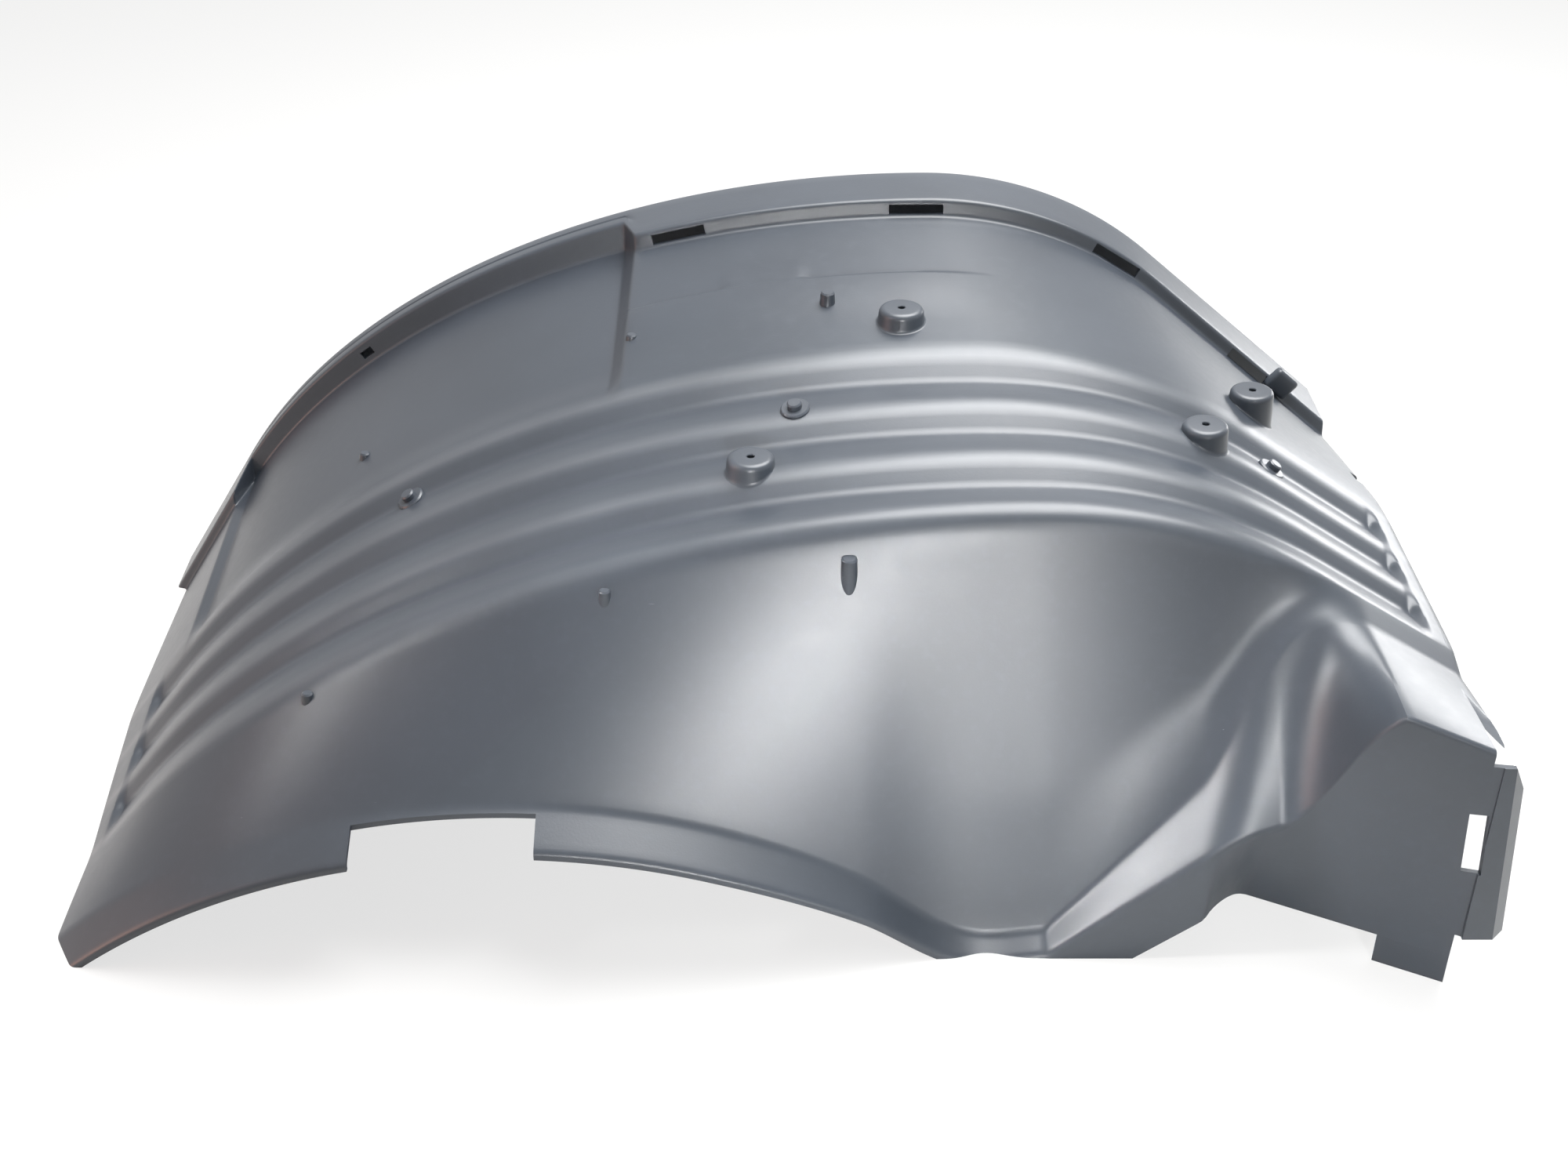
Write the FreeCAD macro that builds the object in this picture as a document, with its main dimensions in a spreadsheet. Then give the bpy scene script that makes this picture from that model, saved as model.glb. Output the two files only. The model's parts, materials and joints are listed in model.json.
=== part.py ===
"""Moulded wheel-arch cab fender: one thin plastic shell with ribs, bosses, clip slots and flanges.

While it is built, X runs along the arch, Y points inboard from the side wall and Z is up from the floor.
The finished solid is moved so that its origin is the middle of its footprint.
"""
import FreeCAD, Part
import math
import os

from FreeCAD import Placement, Rotation, Vector

doc = FreeCAD.newDocument("CabFender")
sheet = doc.addObject("Spreadsheet::Sheet", "Sizes")

SIZES = {
    # whole moulding
    "wall": 4.0, "end_left_x": -640.0, "end_right_x": 522.0, "run_in_x": -535.0,
    # distance between the sections that the shell is lofted through
    "end_spacing": 40.0, "recess_spacing": 65.0, "crown_spacing": 34.0, "corner_spacing": 14.0,
    "nose_spacing": 7.0,
    # rim, the inboard edge of the arch
    "rim_y": 578.0, "rim_crown_x": 130.0, "rim_crown_z": 418.0, "rim_reach": 728.0,
    "rim_fall": 495.0, "rim_shoulder": 330.0, "rim_end_z": 190.0,
    # first rib crest
    "crest_first_y": 292.0, "crest_first_crown_x": 150.0, "crest_first_crown_z": 372.0,
    "crest_first_reach": 800.0, "crest_first_fall": 600.0, "crest_first_shoulder": 430.0,
    "crest_first_end_z": 211.0,
    # last rib crest, where the side wall starts
    "crest_last_y": 100.0, "crest_last_crown_x": 200.0, "crest_last_crown_z": 337.0,
    "crest_last_reach": 850.0, "crest_last_fall": 570.0, "crest_last_shoulder": 420.0,
    "crest_last_end_z": 211.0,
    # ribs and the grooves between them
    "groove_depth": 12.0, "groove_drop_width": 22.0, "crest_round": 18.0, "groove_round": 6.0,
    "groove_start_x": -570.0, "groove_end_x": 506.0, "groove_end_run": 8.0,
    # raised lip along the inboard edge
    "skirt_height": 80.0, "lip_width": 66.0, "lip_drop": 15.0, "lip_lean": 3.0, "lip_fall": 2.0,
    "rim_round": 7.0, "lip_round": 4.0, "panel_toe_y": 332.0, "panel_toe_sink": 3.0,
    # recess in the left half of the panel
    "step_x": -136.0, "step_run": 12.0, "recess_start_x": -541.0,
    "recess_rim_width": 32.0, "recess_depth": 11.0,
    # arched lower edge of the side wall, with its flare and lip
    "edge_crown_x": -215.0, "edge_crown_z": 134.0, "edge_radius": 560.0,
    "flare_out": 34.0, "flare_drop": 17.0, "flare_lip": 7.0, "wall_round": 14.0, "fold_round": 5.0,
    "flare_taper_x": -60.0, "flare_foot_share": 0.65,
    # shelf at the foot of the wall
    "shelf_start_x": 60.0, "shelf_foot_x": 206.0, "shelf_foot_z": 12.0, "shelf_root_y": -4.0,
    "shelf_turn": 0.2, "shelf_climb": 1.1, "shelf_front_y": -24.0, "shelf_front_z": 3.0,
    "shelf_front_climb": 0.88, "shelf_face_x": 266.0, "shelf_face_climb": 0.78,
    "shelf_wall_lean": 0.335, "shelf_wall_flat": 0.8,
    # box that stands out of the wall at the right end
    "box_start_x": 336.0, "box_full_x": 430.0, "box_front_y": -56.0, "box_turn": 0.14,
    "box_edge_z": 222.0, "box_edge_climb": 0.36, "box_ridge_width": 30.0, "box_ridge_sink": 8.0,
    "panel_foot_z": 26.0, "panel_foot_turn": 0.5,
    "nose_toe_x": 350.0, "nose_corner_x": 394.0, "nose_corner_y": -11.0, "nose_corner_z": 128.0,
    "nose_curl": 2.8,
    # end panel, its bent flange, its slot and its tab
    "panel_head_x": 523.0, "panel_toe_x": 537.0, "panel_head_z": 214.0, "panel_toe_z": 50.0,
    "flange_width": 15.0, "flange_bend": 45.0, "flange_bevel": 26.0,
    "slot_x": 507.5, "slot_z": 141.0, "slot_width": 13.0, "slot_height": 55.0, "slot_lean": 4.0,
    "tab_x": 461.0, "tab_width": 49.0, "tab_drop": 26.0,
    # cut-outs
    "cut_reach": 50.0,
    "corner_cut_x": 497.0, "corner_cut_y": 440.0, "end_slant": 16.0, "end_slant_y": 200.0,
    "notch_x": -330.0, "notch_width": 142.0, "notch_root_y": -5.0,
    "end_notch_y": 384.0, "end_notch_width": 22.0, "end_notch_length": 16.0,
    "clip_length": 49.0, "clip_height": 9.0, "clip_sink": 4.5,
    "clip_one_x": -96.0, "clip_two_x": 119.0, "clip_three_x": 304.0, "clip_four_x": 438.0,
    "rim_slot_x": -400.0, "rim_slot_length": 13.0, "rim_slot_height": 7.0,
    # hook at the end of the lip
    "hook_x": 470.0, "hook_y": 506.0, "hook_length": 26.0, "hook_width": 12.0, "hook_rise": 12.0,
    "hook_root": 10.0,
    # screw bosses
    "boss_foot_radius": 20.0, "boss_top_radius": 18.5, "boss_hole_radius": 3.0, "boss_floor": 4.0,
    "boss_round": 5.0,
    "boss_a_x": -26.0, "boss_a_y": 176.0, "boss_a_rise": 7.0, "boss_a_root": 14.0,
    "boss_b_x": 98.0, "boss_b_y": 341.0, "boss_b_rise": 9.0, "boss_b_root": 9.0,
    "boss_c_x": 403.0, "boss_c_y": 350.0, "boss_c_rise": 16.0, "boss_c_root": 19.0,
    "boss_d_x": 340.0, "boss_d_y": 240.0, "boss_d_rise": 10.0, "boss_d_root": 17.0,
    # locating pegs, small nubs and gate stubs
    "peg_radius": 7.0, "peg_top_radius": 6.0, "peg_rise": 11.0,
    "nub_radius": 5.5, "nub_top_radius": 4.5, "nub_rise": 4.0,
    "gate_radius": 12.0, "gate_rise": 3.0, "gate_root": 7.0,
    "gate_stub_radius": 6.0, "gate_stub_rise": 8.0,
}
RIBS = 4
PEGS = {"one": (37.0, 374.0), "two": (49.0, 86.0)}
NUBS = {"one": (-136.0, 87.0), "two": (-373.0, 84.0), "three": (-375.0, 379.0), "four": (-131.0, 372.0)}
GATES = {"one": (9.0, 237.0), "two": (-314.0, 270.0), "three": (402.0, 255.0)}
for group, places in (("peg", PEGS), ("nub", NUBS), ("gate", GATES)):
    for name, (x, y) in places.items():
        SIZES[f"{group}_{name}_x"] = x
        SIZES[f"{group}_{name}_y"] = y

for row, (alias, number) in enumerate(SIZES.items(), start=1):
    sheet.set(f"A{row}", alias)
    sheet.set(f"B{row}", str(number))
    sheet.setAlias(f"B{row}", alias)
doc.recompute()


def size(alias):
    """The number that the sheet holds under this alias."""
    return float(sheet.get(alias))


def ellipse_drop(name, x):
    """Drop below the crown, and slope, of the elliptic rise of one arch line."""
    share = (size(name + "_crown_x") - x) / size(name + "_reach")
    root = math.sqrt(1 - share * share)
    fall = size(name + "_fall")
    return fall * (1 - root), fall / size(name + "_reach") * share / root


def arch_height(name, x):
    """Height of one arch line: straight run-in, elliptic rise, round shoulder and straight end."""
    crown_x, crown_z = size(name + "_crown_x"), size(name + "_crown_z")
    if x <= crown_x:
        start_x = max(x, size("run_in_x"))
        drop, slope = ellipse_drop(name, start_x)
        return crown_z - drop - slope * (start_x - x)
    radius = size(name + "_shoulder")
    run, rise = size("end_right_x") - crown_x, size(name + "_end_z") - (crown_z - radius)
    turn = math.atan2(run, rise) - math.acos(radius / math.hypot(run, rise))
    tangent_x = crown_x + radius * math.sin(turn)
    if x <= tangent_x:
        return crown_z - radius + math.sqrt(radius * radius - (x - crown_x) ** 2)
    return crown_z - radius + radius * math.cos(turn) - (x - tangent_x) * math.tan(turn)


def arch_slope(name, x):
    """Slope of one arch line along X."""
    step = 1.0
    return (arch_height(name, x + step) - arch_height(name, x - step)) / (2 * step)


def crest_height(x, y):
    """Height of the plane that touches the rib crests."""
    first_y, last_y = size("crest_first_y"), size("crest_last_y")
    first, last = arch_height("crest_first", x), arch_height("crest_last", x)
    return first + (last - first) * (first_y - y) / (first_y - last_y)


def blend(start, end, share):
    """The value, or list of points, at a share of the way from start to end."""
    if isinstance(start, (list, tuple)):
        return [blend(a, b, share) for a, b in zip(start, end)]
    return start + (end - start) * share


def ease(x, start, end):
    """A smooth climb from 0 at start to 1 at end."""
    share = min(max((x - start) / (end - start), 0.0), 1.0)
    return share * share * (3 - 2 * share)


def tread_corners(x, recess, groove):
    """Corners from the skirt to the last crest, as (y, z, setback of the rounding)."""
    rim_y, rim_z = size("rim_y"), arch_height("rim", x)
    width = size("recess_rim_width") if recess else size("lip_width")
    lip_y, lip_z = rim_y - width, rim_z - size("lip_fall") * width / size("lip_width")
    toe_y = size("panel_toe_y")
    corners = [
        (rim_y, rim_z - size("skirt_height"), 0.0),
        (rim_y, rim_z, size("rim_round")),
        (lip_y, lip_z, size("lip_round")),
        (lip_y - size("lip_lean"), lip_z - size("lip_drop") - recess, size("lip_round")),
        (toe_y, crest_height(x, toe_y) - size("panel_toe_sink") - recess, size("crest_round")),
    ]
    pitch = (size("crest_first_y") - size("crest_last_y")) / (RIBS - 1)
    for rib in range(RIBS):
        crest_y = size("crest_first_y") - rib * pitch
        corners.append((crest_y, crest_height(x, crest_y), size("crest_round")))
        if rib < RIBS - 1:
            groove_y = crest_y - size("groove_drop_width")
            corners.append((groove_y, crest_height(x, groove_y) - groove, size("groove_round")))
    return corners


def with_flat(top, fold, rest, flat_y=None):
    """Two corners on the flat of the wall, then its fold and the rest; flat_y is where the flat aims at."""
    aim = (fold[0] if flat_y is None else flat_y, fold[1])
    return [blend(top, aim, 1 / 3), blend(top, aim, 2 / 3), fold] + rest


def plain_wall(x, top):
    """Side wall over the wheel: flat, fold, flare and lip along the arched lower edge."""
    reach = size("edge_radius")
    along = min(abs(x - size("edge_crown_x")), reach)
    edge_z = size("edge_crown_z") - reach + math.sqrt(reach * reach - along * along)
    left_over = blend(1.0, size("flare_foot_share"), ease(x, size("flare_taper_x"), size("shelf_foot_x")))
    flare = (-size("flare_out") * left_over, edge_z - size("flare_drop") * left_over)
    lip = (flare[0], flare[1] - size("flare_lip"))
    return with_flat(top, (0.0, edge_z), [flare, lip])


def steady_y(top, fold, share):
    """Place that the flat of the wall aims at, drawn to an even lean by a share."""
    even_y = top[0] - size("shelf_wall_lean") * (top[1] - fold[1])
    return blend(fold[0], even_y, share * size("shelf_wall_flat"))


def shelf_lines(x):
    """Fold, front edge and lower edge of the climbing shelf."""
    along = max(x - size("shelf_foot_x"), 0.0)
    fold_y = size("shelf_root_y") + size("shelf_turn") * along
    fold = (fold_y, size("shelf_foot_z") + size("shelf_climb") * along)
    front = (size("shelf_front_y"), size("shelf_front_z") + size("shelf_front_climb") * along)
    face = size("shelf_face_climb") * max(x - size("shelf_face_x"), 0.0)
    return fold, front, (size("shelf_front_y"), face - size("flare_lip"))


def box_lines(x):
    """Ridge by the last crest, box edge and foot of the front panel."""
    back = size("end_right_x") - x
    ridge_z = arch_height("crest_last", x) - size("box_ridge_sink")
    ridge = (size("crest_last_y") - size("box_ridge_width"), ridge_z)
    edge_y = size("box_front_y") + size("box_turn") * back
    edge = (edge_y, size("box_edge_z") + size("box_edge_climb") * back)
    return ridge, edge, (size("box_front_y") + size("panel_foot_turn") * back, size("panel_foot_z"))


def shelf_wall(x, top):
    """Side wall over the climbing shelf: flat, fold, shelf and its front face."""
    fold, front, lower = shelf_lines(x)
    return with_flat(top, fold, [front, lower], steady_y(top, fold, 1.0))


def nose_wall(x, top):
    """Side wall at the nose of the box: curled fold, sloping side and the start of the front panel."""
    start, full = size("box_start_x"), size("box_full_x")
    toe, corner = size("nose_toe_x"), size("nose_corner_x")
    shelf_fold, shelf_front, shelf_lower = shelf_lines(start)
    ridge, edge, _ = box_lines(full)
    share = (x - start) / (full - start)
    fold = blend(shelf_fold, ridge, 1 - (1 - share) ** size("nose_curl"))
    nose = (size("nose_corner_y"), size("nose_corner_z"))
    if x <= corner:
        front = blend(shelf_front, nose, (x - start) / (corner - start))
    else:
        front = blend(nose, edge, (x - corner) / (full - corner))
    foot = box_lines(x)[2]
    if x < toe:
        foot = blend(shelf_lower, box_lines(toe)[2], (x - start) / (toe - start))
    return with_flat(top, fold, [front, foot], steady_y(top, fold, 1 - share))


def box_wall(x, top):
    """Side wall at the box: ridge by the last crest, box edge and the panel down to its foot."""
    ridge, edge, foot = box_lines(x)
    return with_flat(top, ridge, [edge, foot])


def section_corners(x, recess, groove):
    """All the corners of the section at one place along the arch."""
    top = (size("crest_last_y"), arch_height("crest_last", x))
    shelf = ease(x, size("shelf_start_x"), size("shelf_foot_x"))
    wall = blend(plain_wall(x, top), shelf_wall(x, top), shelf)
    if x >= size("box_full_x"):
        wall = box_wall(x, top)
    elif x > size("box_start_x"):
        wall = nose_wall(x, top)
    rounds = (size("wall_round"), size("wall_round"), size("fold_round"), size("fold_round"), 0.0)
    return tread_corners(x, recess, groove) + [(y, z, setback) for (y, z), setback in zip(wall, rounds)]


def inner_corners(x, corners):
    """The same corners moved inward by the wall, measured square to the sloping skin."""
    slope = arch_slope("crest_first", x)
    sides = []
    for (y0, z0, _), (y1, z1, _) in zip(corners, corners[1:]):
        length = math.hypot(y1 - y0, z1 - z0)
        normal_y, normal_z = (z0 - z1) / length, (y1 - y0) / length
        sides.append((normal_y, normal_z, size("wall") * math.hypot(1.0, slope * normal_z)))
    moved = []
    before, after = sides[:1] + sides, sides + sides[-1:]
    for (y, z, setback), (ay, az, a_gap), (by, bz, b_gap) in zip(corners, before, after):
        cross = ay * bz - az * by
        if abs(cross) < 0.05:
            shift_y, shift_z = (ay * a_gap + by * b_gap) / 2, (az * a_gap + bz * b_gap) / 2
        else:
            shift_y, shift_z = (a_gap * bz - b_gap * az) / cross, (b_gap * ay - a_gap * by) / cross
        moved.append((y + shift_y, z + shift_z, setback))
    return moved


def rounded_path(x, corners):
    """Edges through the corners, each corner eased by a parabola that starts one setback away."""
    points = [Vector(x, y, z) for y, z, _ in corners]
    edges = []
    start = points[0]
    for before, corner, after, (_, _, setback) in zip(points, points[1:], points[2:], corners[1:]):
        back, ahead = before - corner, after - corner
        enter = corner + back * min(setback / back.Length, 0.45)
        leave = corner + ahead * min(setback / ahead.Length, 0.45)
        curve = Part.BezierCurve()
        curve.setPoles([enter, corner, leave])
        edges += [Part.makeLine(start, enter), curve.toShape()]
        start = leave
    return edges + [Part.makeLine(start, points[-1])]


def section_wire(x, recess, groove):
    """Closed outline of the wall at one place along the arch."""
    outer = section_corners(x, recess, groove)
    skin, back = rounded_path(x, outer), rounded_path(x, inner_corners(x, outer))
    ends = [(back[0].firstVertex().Point, skin[0].firstVertex().Point),
            (skin[-1].lastVertex().Point, back[-1].lastVertex().Point)]
    first, last = [Part.makeLine(start, end) for start, end in ends]
    return Part.Wire([first] + skin + [last] + list(reversed(back)))


FAR = 1000.0


def cut_prism(label, outline, low, high):
    """Upright prism-shaped cut over an outline of (x, y) points."""
    points = [Vector(x, y, low) for x, y in outline]
    prism = doc.addObject("Part::Feature", label)
    prism.Shape = Part.Face(Part.makePolygon(points + points[:1])).extrude(Vector(0, 0, high - low))
    return prism


floor = cut_prism("Floor", [(-FAR, -FAR), (FAR, -FAR), (FAR, FAR), (-FAR, FAR)], -FAR, 0.0)


def shell_piece(label, start, end, spacing, recess, groove):
    """One stretch of the shell, lofted through evenly spaced sections."""
    count = max(2, round((end - start) / size(spacing)))
    places = [start + (end - start) * i / count for i in range(count + 1)]
    piece = doc.addObject("Part::Feature", label)
    loft = Part.makeLoft([section_wire(x, recess, groove) for x in places], True, False)
    piece.Shape = loft.cut(floor.Shape)
    return piece


def sloped_step(label, start, end, low, high):
    """Short stretch of the shell whose skin slopes from one section to another, (recess, groove) each."""
    piece = doc.addObject("Part::Feature", label)
    loft = Part.makeLoft([section_wire(start, *low), section_wire(end, *high)], True, True)
    piece.Shape = loft.cut(floor.Shape)
    return piece


depth, recess = size("groove_depth"), size("recess_depth")
groove_start, groove_end = size("groove_start_x"), size("groove_end_x")
recess_start, step = size("recess_start_x"), size("step_x")
slope_run, groove_run = size("step_run"), size("groove_end_run")
flat, grooved, recessed = (0.0, 0.0), (0.0, depth), (recess, depth)
stretches = [
    shell_piece("LeftFlange", size("end_left_x"), groove_start, "end_spacing", *flat),
    sloped_step("LeftGrooveEnd", groove_start, groove_start + groove_run, flat, grooved),
    shell_piece("LeftBand", groove_start + groove_run, recess_start, "corner_spacing", *grooved),
    sloped_step("RecessEnd", recess_start, recess_start + slope_run, grooved, recessed),
    shell_piece("RecessedShell", recess_start + slope_run, step - slope_run, "recess_spacing", *recessed),
    sloped_step("RecessStep", step - slope_run, step, recessed, grooved),
    shell_piece("CrownShell", step, size("box_start_x"), "crown_spacing", *grooved),
    shell_piece("NoseToe", size("box_start_x"), size("nose_toe_x"), "nose_spacing", *grooved),
    shell_piece("NoseSide", size("nose_toe_x"), size("nose_corner_x"), "nose_spacing", *grooved),
    shell_piece("NoseCorner", size("nose_corner_x"), size("box_full_x"), "nose_spacing", *grooved),
    shell_piece("BoxShell", size("box_full_x"), groove_end - groove_run, "corner_spacing", *grooved),
    sloped_step("RightGrooveEnd", groove_end - groove_run, groove_end, grooved, flat),
    shell_piece("RightFlange", groove_end, size("end_right_x"), "corner_spacing", *flat),
]


def flat_plate(label, corners, inward):
    """Plate of the wall's thickness on the corners given, thickened the way that inward points."""
    points = [Vector(*corner) for corner in corners]
    face = Part.Face(Part.makePolygon(points + points[:1]))
    normal = face.normalAt(0, 0)
    side = 1.0 if normal.dot(inward) > 0 else -1.0
    plate = doc.addObject("Part::Feature", label)
    plate.Shape = face.extrude(normal * side * size("wall"))
    return plate


INBOARD = Vector(0, 1, 0)
fittings = []
front, foot_z = size("box_front_y"), size("panel_foot_z")
head_z, toe_z = size("panel_head_z"), size("panel_toe_z")
end_x, head_x, toe_x = size("end_right_x"), size("panel_head_x"), size("panel_toe_x")
overlap = 2 * size("wall")
fittings.append(flat_plate("EndPanel", [
    (end_x - overlap, front, head_z), (head_x, front, head_z), (toe_x, front, toe_z),
    (end_x - overlap, front, toe_z)], INBOARD))
bend = math.radians(size("flange_bend"))
out_x, out_y = size("flange_width") * math.cos(bend), size("flange_width") * math.sin(bend)
taper = size("flange_bevel") / (head_z - toe_z)
bevel_x, bevel_z = blend(head_x, toe_x, taper) + out_x, blend(head_z, toe_z, taper)
fittings.append(flat_plate("EndFlange", [
    (head_x, front, head_z), (bevel_x, front + out_y, bevel_z),
    (toe_x + out_x, front + out_y, toe_z), (toe_x, front, toe_z)], INBOARD))
tab_low, tab_high = foot_z - size("tab_drop"), foot_z + overlap
tab_start, tab_end = size("tab_x"), size("tab_x") + size("tab_width")
tab_ends = [(x, front + size("panel_foot_turn") * (end_x - x)) for x in (tab_start, tab_end)]
fittings.append(flat_plate("Tab", [(x, y, tab_low) for x, y in tab_ends]
                         + [(x, y, tab_high) for x, y in reversed(tab_ends)], INBOARD))


def bound(kind, label, sizes, base, axis=Vector(0, 0, 1)):
    """A primitive whose sizes follow the sheet, standing at base along axis."""
    item = doc.addObject(kind, label)
    for name, formula in sizes.items():
        item.setExpression(name, formula)
    item.Placement = Placement(base, Rotation(Vector(0, 0, 1), axis))
    return item


def rounded_top(label, item, radius):
    """The item with the edges of its top face rounded."""
    doc.recompute()
    edges = item.Shape.Edges
    level = max(edge.BoundBox.ZMax for edge in edges) - size("wall") / 4
    rims = [i for i, edge in enumerate(edges, start=1) if edge.BoundBox.ZMin > level]
    fillet = doc.addObject("Part::Fillet", label)
    fillet.Base = item
    fillet.Edges = [(i, size(radius), size(radius)) for i in rims]
    return fillet


def skin_normal(x, y):
    """Direction square to the crest plane at one place."""
    along = (crest_height(x + 1, y) - crest_height(x - 1, y)) / 2
    across = (crest_height(x, y + 1) - crest_height(x, y - 1)) / 2
    return Vector(-along, -across, 1).normalize()


def skin_height(x, y):
    """Height of the outer skin at one place."""
    inside = recess if recess_start < x < step else 0.0
    corners = section_corners(x, inside, depth)
    for (y0, z0, _), (y1, z1, _) in zip(corners[1:], corners[2:]):
        if y1 <= y <= y0:
            return blend(z0, z1, (y0 - y) / (y0 - y1))
    return corners[-1][1]


hook = doc.addObject("Part::Box", "HookBlock")
for name, formula in (("Length", "Sizes.hook_length"), ("Width", "Sizes.hook_width"),
                      ("Height", "Sizes.hook_rise + Sizes.hook_root")):
    hook.setExpression(name, formula)
hook_turn = Rotation(Vector(0, 1, 0), -math.degrees(math.atan(arch_slope("rim", size("hook_x")))))
hook_top = Vector(size("hook_x"), size("hook_y"), arch_height("rim", size("hook_x")))
hook_corner = Vector(size("hook_length") / 2, size("hook_width") / 2, size("hook_root"))
hook.Placement = Placement(hook_top - hook_turn.multVec(hook_corner), hook_turn)
fittings.append(hook)

cuts = []
boss_rings = []
for letter in "abcd":
    boss = "boss_" + letter
    x, y = size(boss + "_x"), size(boss + "_y")
    height = size(boss + "_root") + size(boss + "_rise")
    foot = Vector(x, y, crest_height(x, y) - size(boss + "_root"))
    ring_x = (size("boss_hole_radius") + size("boss_top_radius")) / 2
    boss_rings.append(foot + Vector(ring_x, 0, height - size("boss_floor") / 2))
    tall = f"Sizes.{boss}_root + Sizes.{boss}_rise"
    cone = bound("Part::Cone", "BossCone" + letter.upper(), {
        "Radius1": "Sizes.boss_foot_radius", "Radius2": "Sizes.boss_top_radius", "Height": tall}, foot)
    fittings.append(rounded_top("Boss" + letter.upper(), cone, "boss_round"))
    cuts.append(bound("Part::Cone", "BossCore" + letter.upper(), {
        "Radius1": "Sizes.boss_foot_radius - Sizes.wall", "Radius2": "Sizes.boss_top_radius - Sizes.wall",
        "Height": tall + " - Sizes.boss_floor"}, foot))
    cuts.append(bound("Part::Cylinder", "BossHole" + letter.upper(), {
        "Radius": "Sizes.boss_hole_radius", "Height": tall + " + Sizes.boss_floor"}, foot))

for group, places in (("peg", PEGS), ("nub", NUBS)):
    for name in places:
        x, y = size(f"{group}_{name}_x"), size(f"{group}_{name}_y")
        slope = abs(skin_height(x, y + 1) - skin_height(x, y - 1)) / 2
        root = size("wall") / 4 + size(f"{group}_radius") * slope
        fittings.append(bound("Part::Cone", group.capitalize() + name.capitalize(), {
            "Radius1": f"Sizes.{group}_radius", "Radius2": f"Sizes.{group}_top_radius",
            "Height": f"Sizes.{group}_rise + Sizes.wall / 4 + Sizes.{group}_radius * {slope:.4f}",
        }, Vector(x, y, skin_height(x, y) - root)))

for name in GATES:
    x, y = size(f"gate_{name}_x"), size(f"gate_{name}_y")
    normal = skin_normal(x, y)
    base = Vector(x, y, skin_height(x, y)) - normal * size("gate_root")
    for label, part in (("Gate", "gate"), ("GateStub", "gate_stub")):
        fittings.append(bound("Part::Cylinder", label + name.capitalize(), {
            "Radius": f"Sizes.{part}_radius",
            "Height": f"Sizes.gate_root + Sizes.{part}_rise"}, base, normal))


def cut_box(label, centre, sides, tilt=0.0):
    """Box-shaped cut with its sides bound to the sheet, centred at a point and tilted about Y."""
    box = doc.addObject("Part::Box", label)
    half = Vector(*(size(side) / 2 for side in sides))
    for name, side in zip(("Length", "Width", "Height"), sides):
        box.setExpression(name, "Sizes." + side)
    turn = Rotation(Vector(0, 1, 0), tilt)
    box.Placement = Placement(centre - turn.multVec(half), turn)
    return box


def rim_cut(label, x, width, length, height, sink):
    """Slot through the upright face below the lip, turned to follow the arch."""
    slope = arch_slope("rim", x)
    centre = Vector(x, size("rim_y") - width - size("lip_lean") / 2, arch_height("rim", x) - sink)
    return cut_box(label, centre, (length, "cut_reach", height), -math.degrees(math.atan(slope)))


sink = size("lip_fall") + size("clip_sink") + size("clip_height") / 2
for name in ("one", "two", "three", "four"):
    cuts.append(rim_cut("Clip" + name.capitalize(), size(f"clip_{name}_x"), size("lip_width"),
                        "clip_length", "clip_height", sink))
rim_sink = size("lip_fall") + (size("lip_drop") + recess) / 2
cuts.append(rim_cut("RimSlot", size("rim_slot_x"), size("recess_rim_width"),
                    "rim_slot_length", "rim_slot_height", rim_sink))
cuts.append(cut_box("PanelSlot", Vector(size("slot_x"), front, size("slot_z")),
                    ("slot_width", "cut_reach", "slot_height"), -size("slot_lean")))
cuts.append(cut_box("EndNotch", Vector(end_x, size("end_notch_y"), arch_height("crest_first", end_x)),
                    ("end_notch_length", "end_notch_width", "cut_reach")))
notch_x, notch_end = size("notch_x"), size("notch_x") + size("notch_width")
cuts.append(cut_prism("Notch", [(notch_x, -FAR), (notch_end, -FAR), (notch_end, size("notch_root_y")),
                                (notch_x, size("notch_root_y"))], 0.0, size("edge_crown_z")))
cuts.append(cut_prism("CornerCut", [(size("corner_cut_x"), FAR), (FAR, FAR), (FAR, size("corner_cut_y")),
                                    (end_x, size("corner_cut_y"))], 0.0, FAR))
slant_y = size("end_slant_y")
beside_tab = [(tab_end, -FAR), (FAR, -FAR), (FAR, FAR), (tab_end, FAR)]
cuts.append(cut_prism("TabCorner", beside_tab, 0.0, toe_z))
cuts.append(cut_prism("EndSlant", [(end_x, slant_y), (FAR, slant_y), (FAR, front - overlap),
                                   (end_x - size("end_slant"), front - overlap)], head_z, FAR))

doc.recompute()
shell = doc.addObject("Part::MultiFuse", "Shell")
shell.Shapes = stretches
body = doc.addObject("Part::MultiFuse", "Body")
body.Shapes = [shell] + fittings
doc.recompute()

fender = doc.addObject("Part::Feature", "FenderShell")
fender.Label = "fender_shell"
fender.Shape = body.Shape.cut([cut.Shape for cut in cuts])
if not all(fender.Shape.isInside(ring, 1e-4, True) for ring in boss_rings):
    raise RuntimeError("a screw boss is missing from the fender")
skin_points, _ = fender.Shape.tessellate(0.2)
ends_x = [point.x for point in skin_points]
middle = Vector((min(ends_x) + max(ends_x)) / 2, (size("rim_y") + size("box_front_y")) / 2, 0.0)
fender.Placement = Placement(middle * -1.0, Rotation())
doc.recompute()

for item in doc.Objects:
    if "Invalid" in item.State or "Error" in item.State:
        raise RuntimeError(f"{item.Label} failed: {item.State}")
shape = fender.Shape
if shape.isNull() or not shape.isValid() or len(shape.Solids) != 1:
    raise RuntimeError(f"the fender is not one valid solid: {len(shape.Solids)} solids")

os.makedirs("parts", exist_ok=True)
shape.Solids[0].exportStep(f"parts/{fender.Label}.step")
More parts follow.
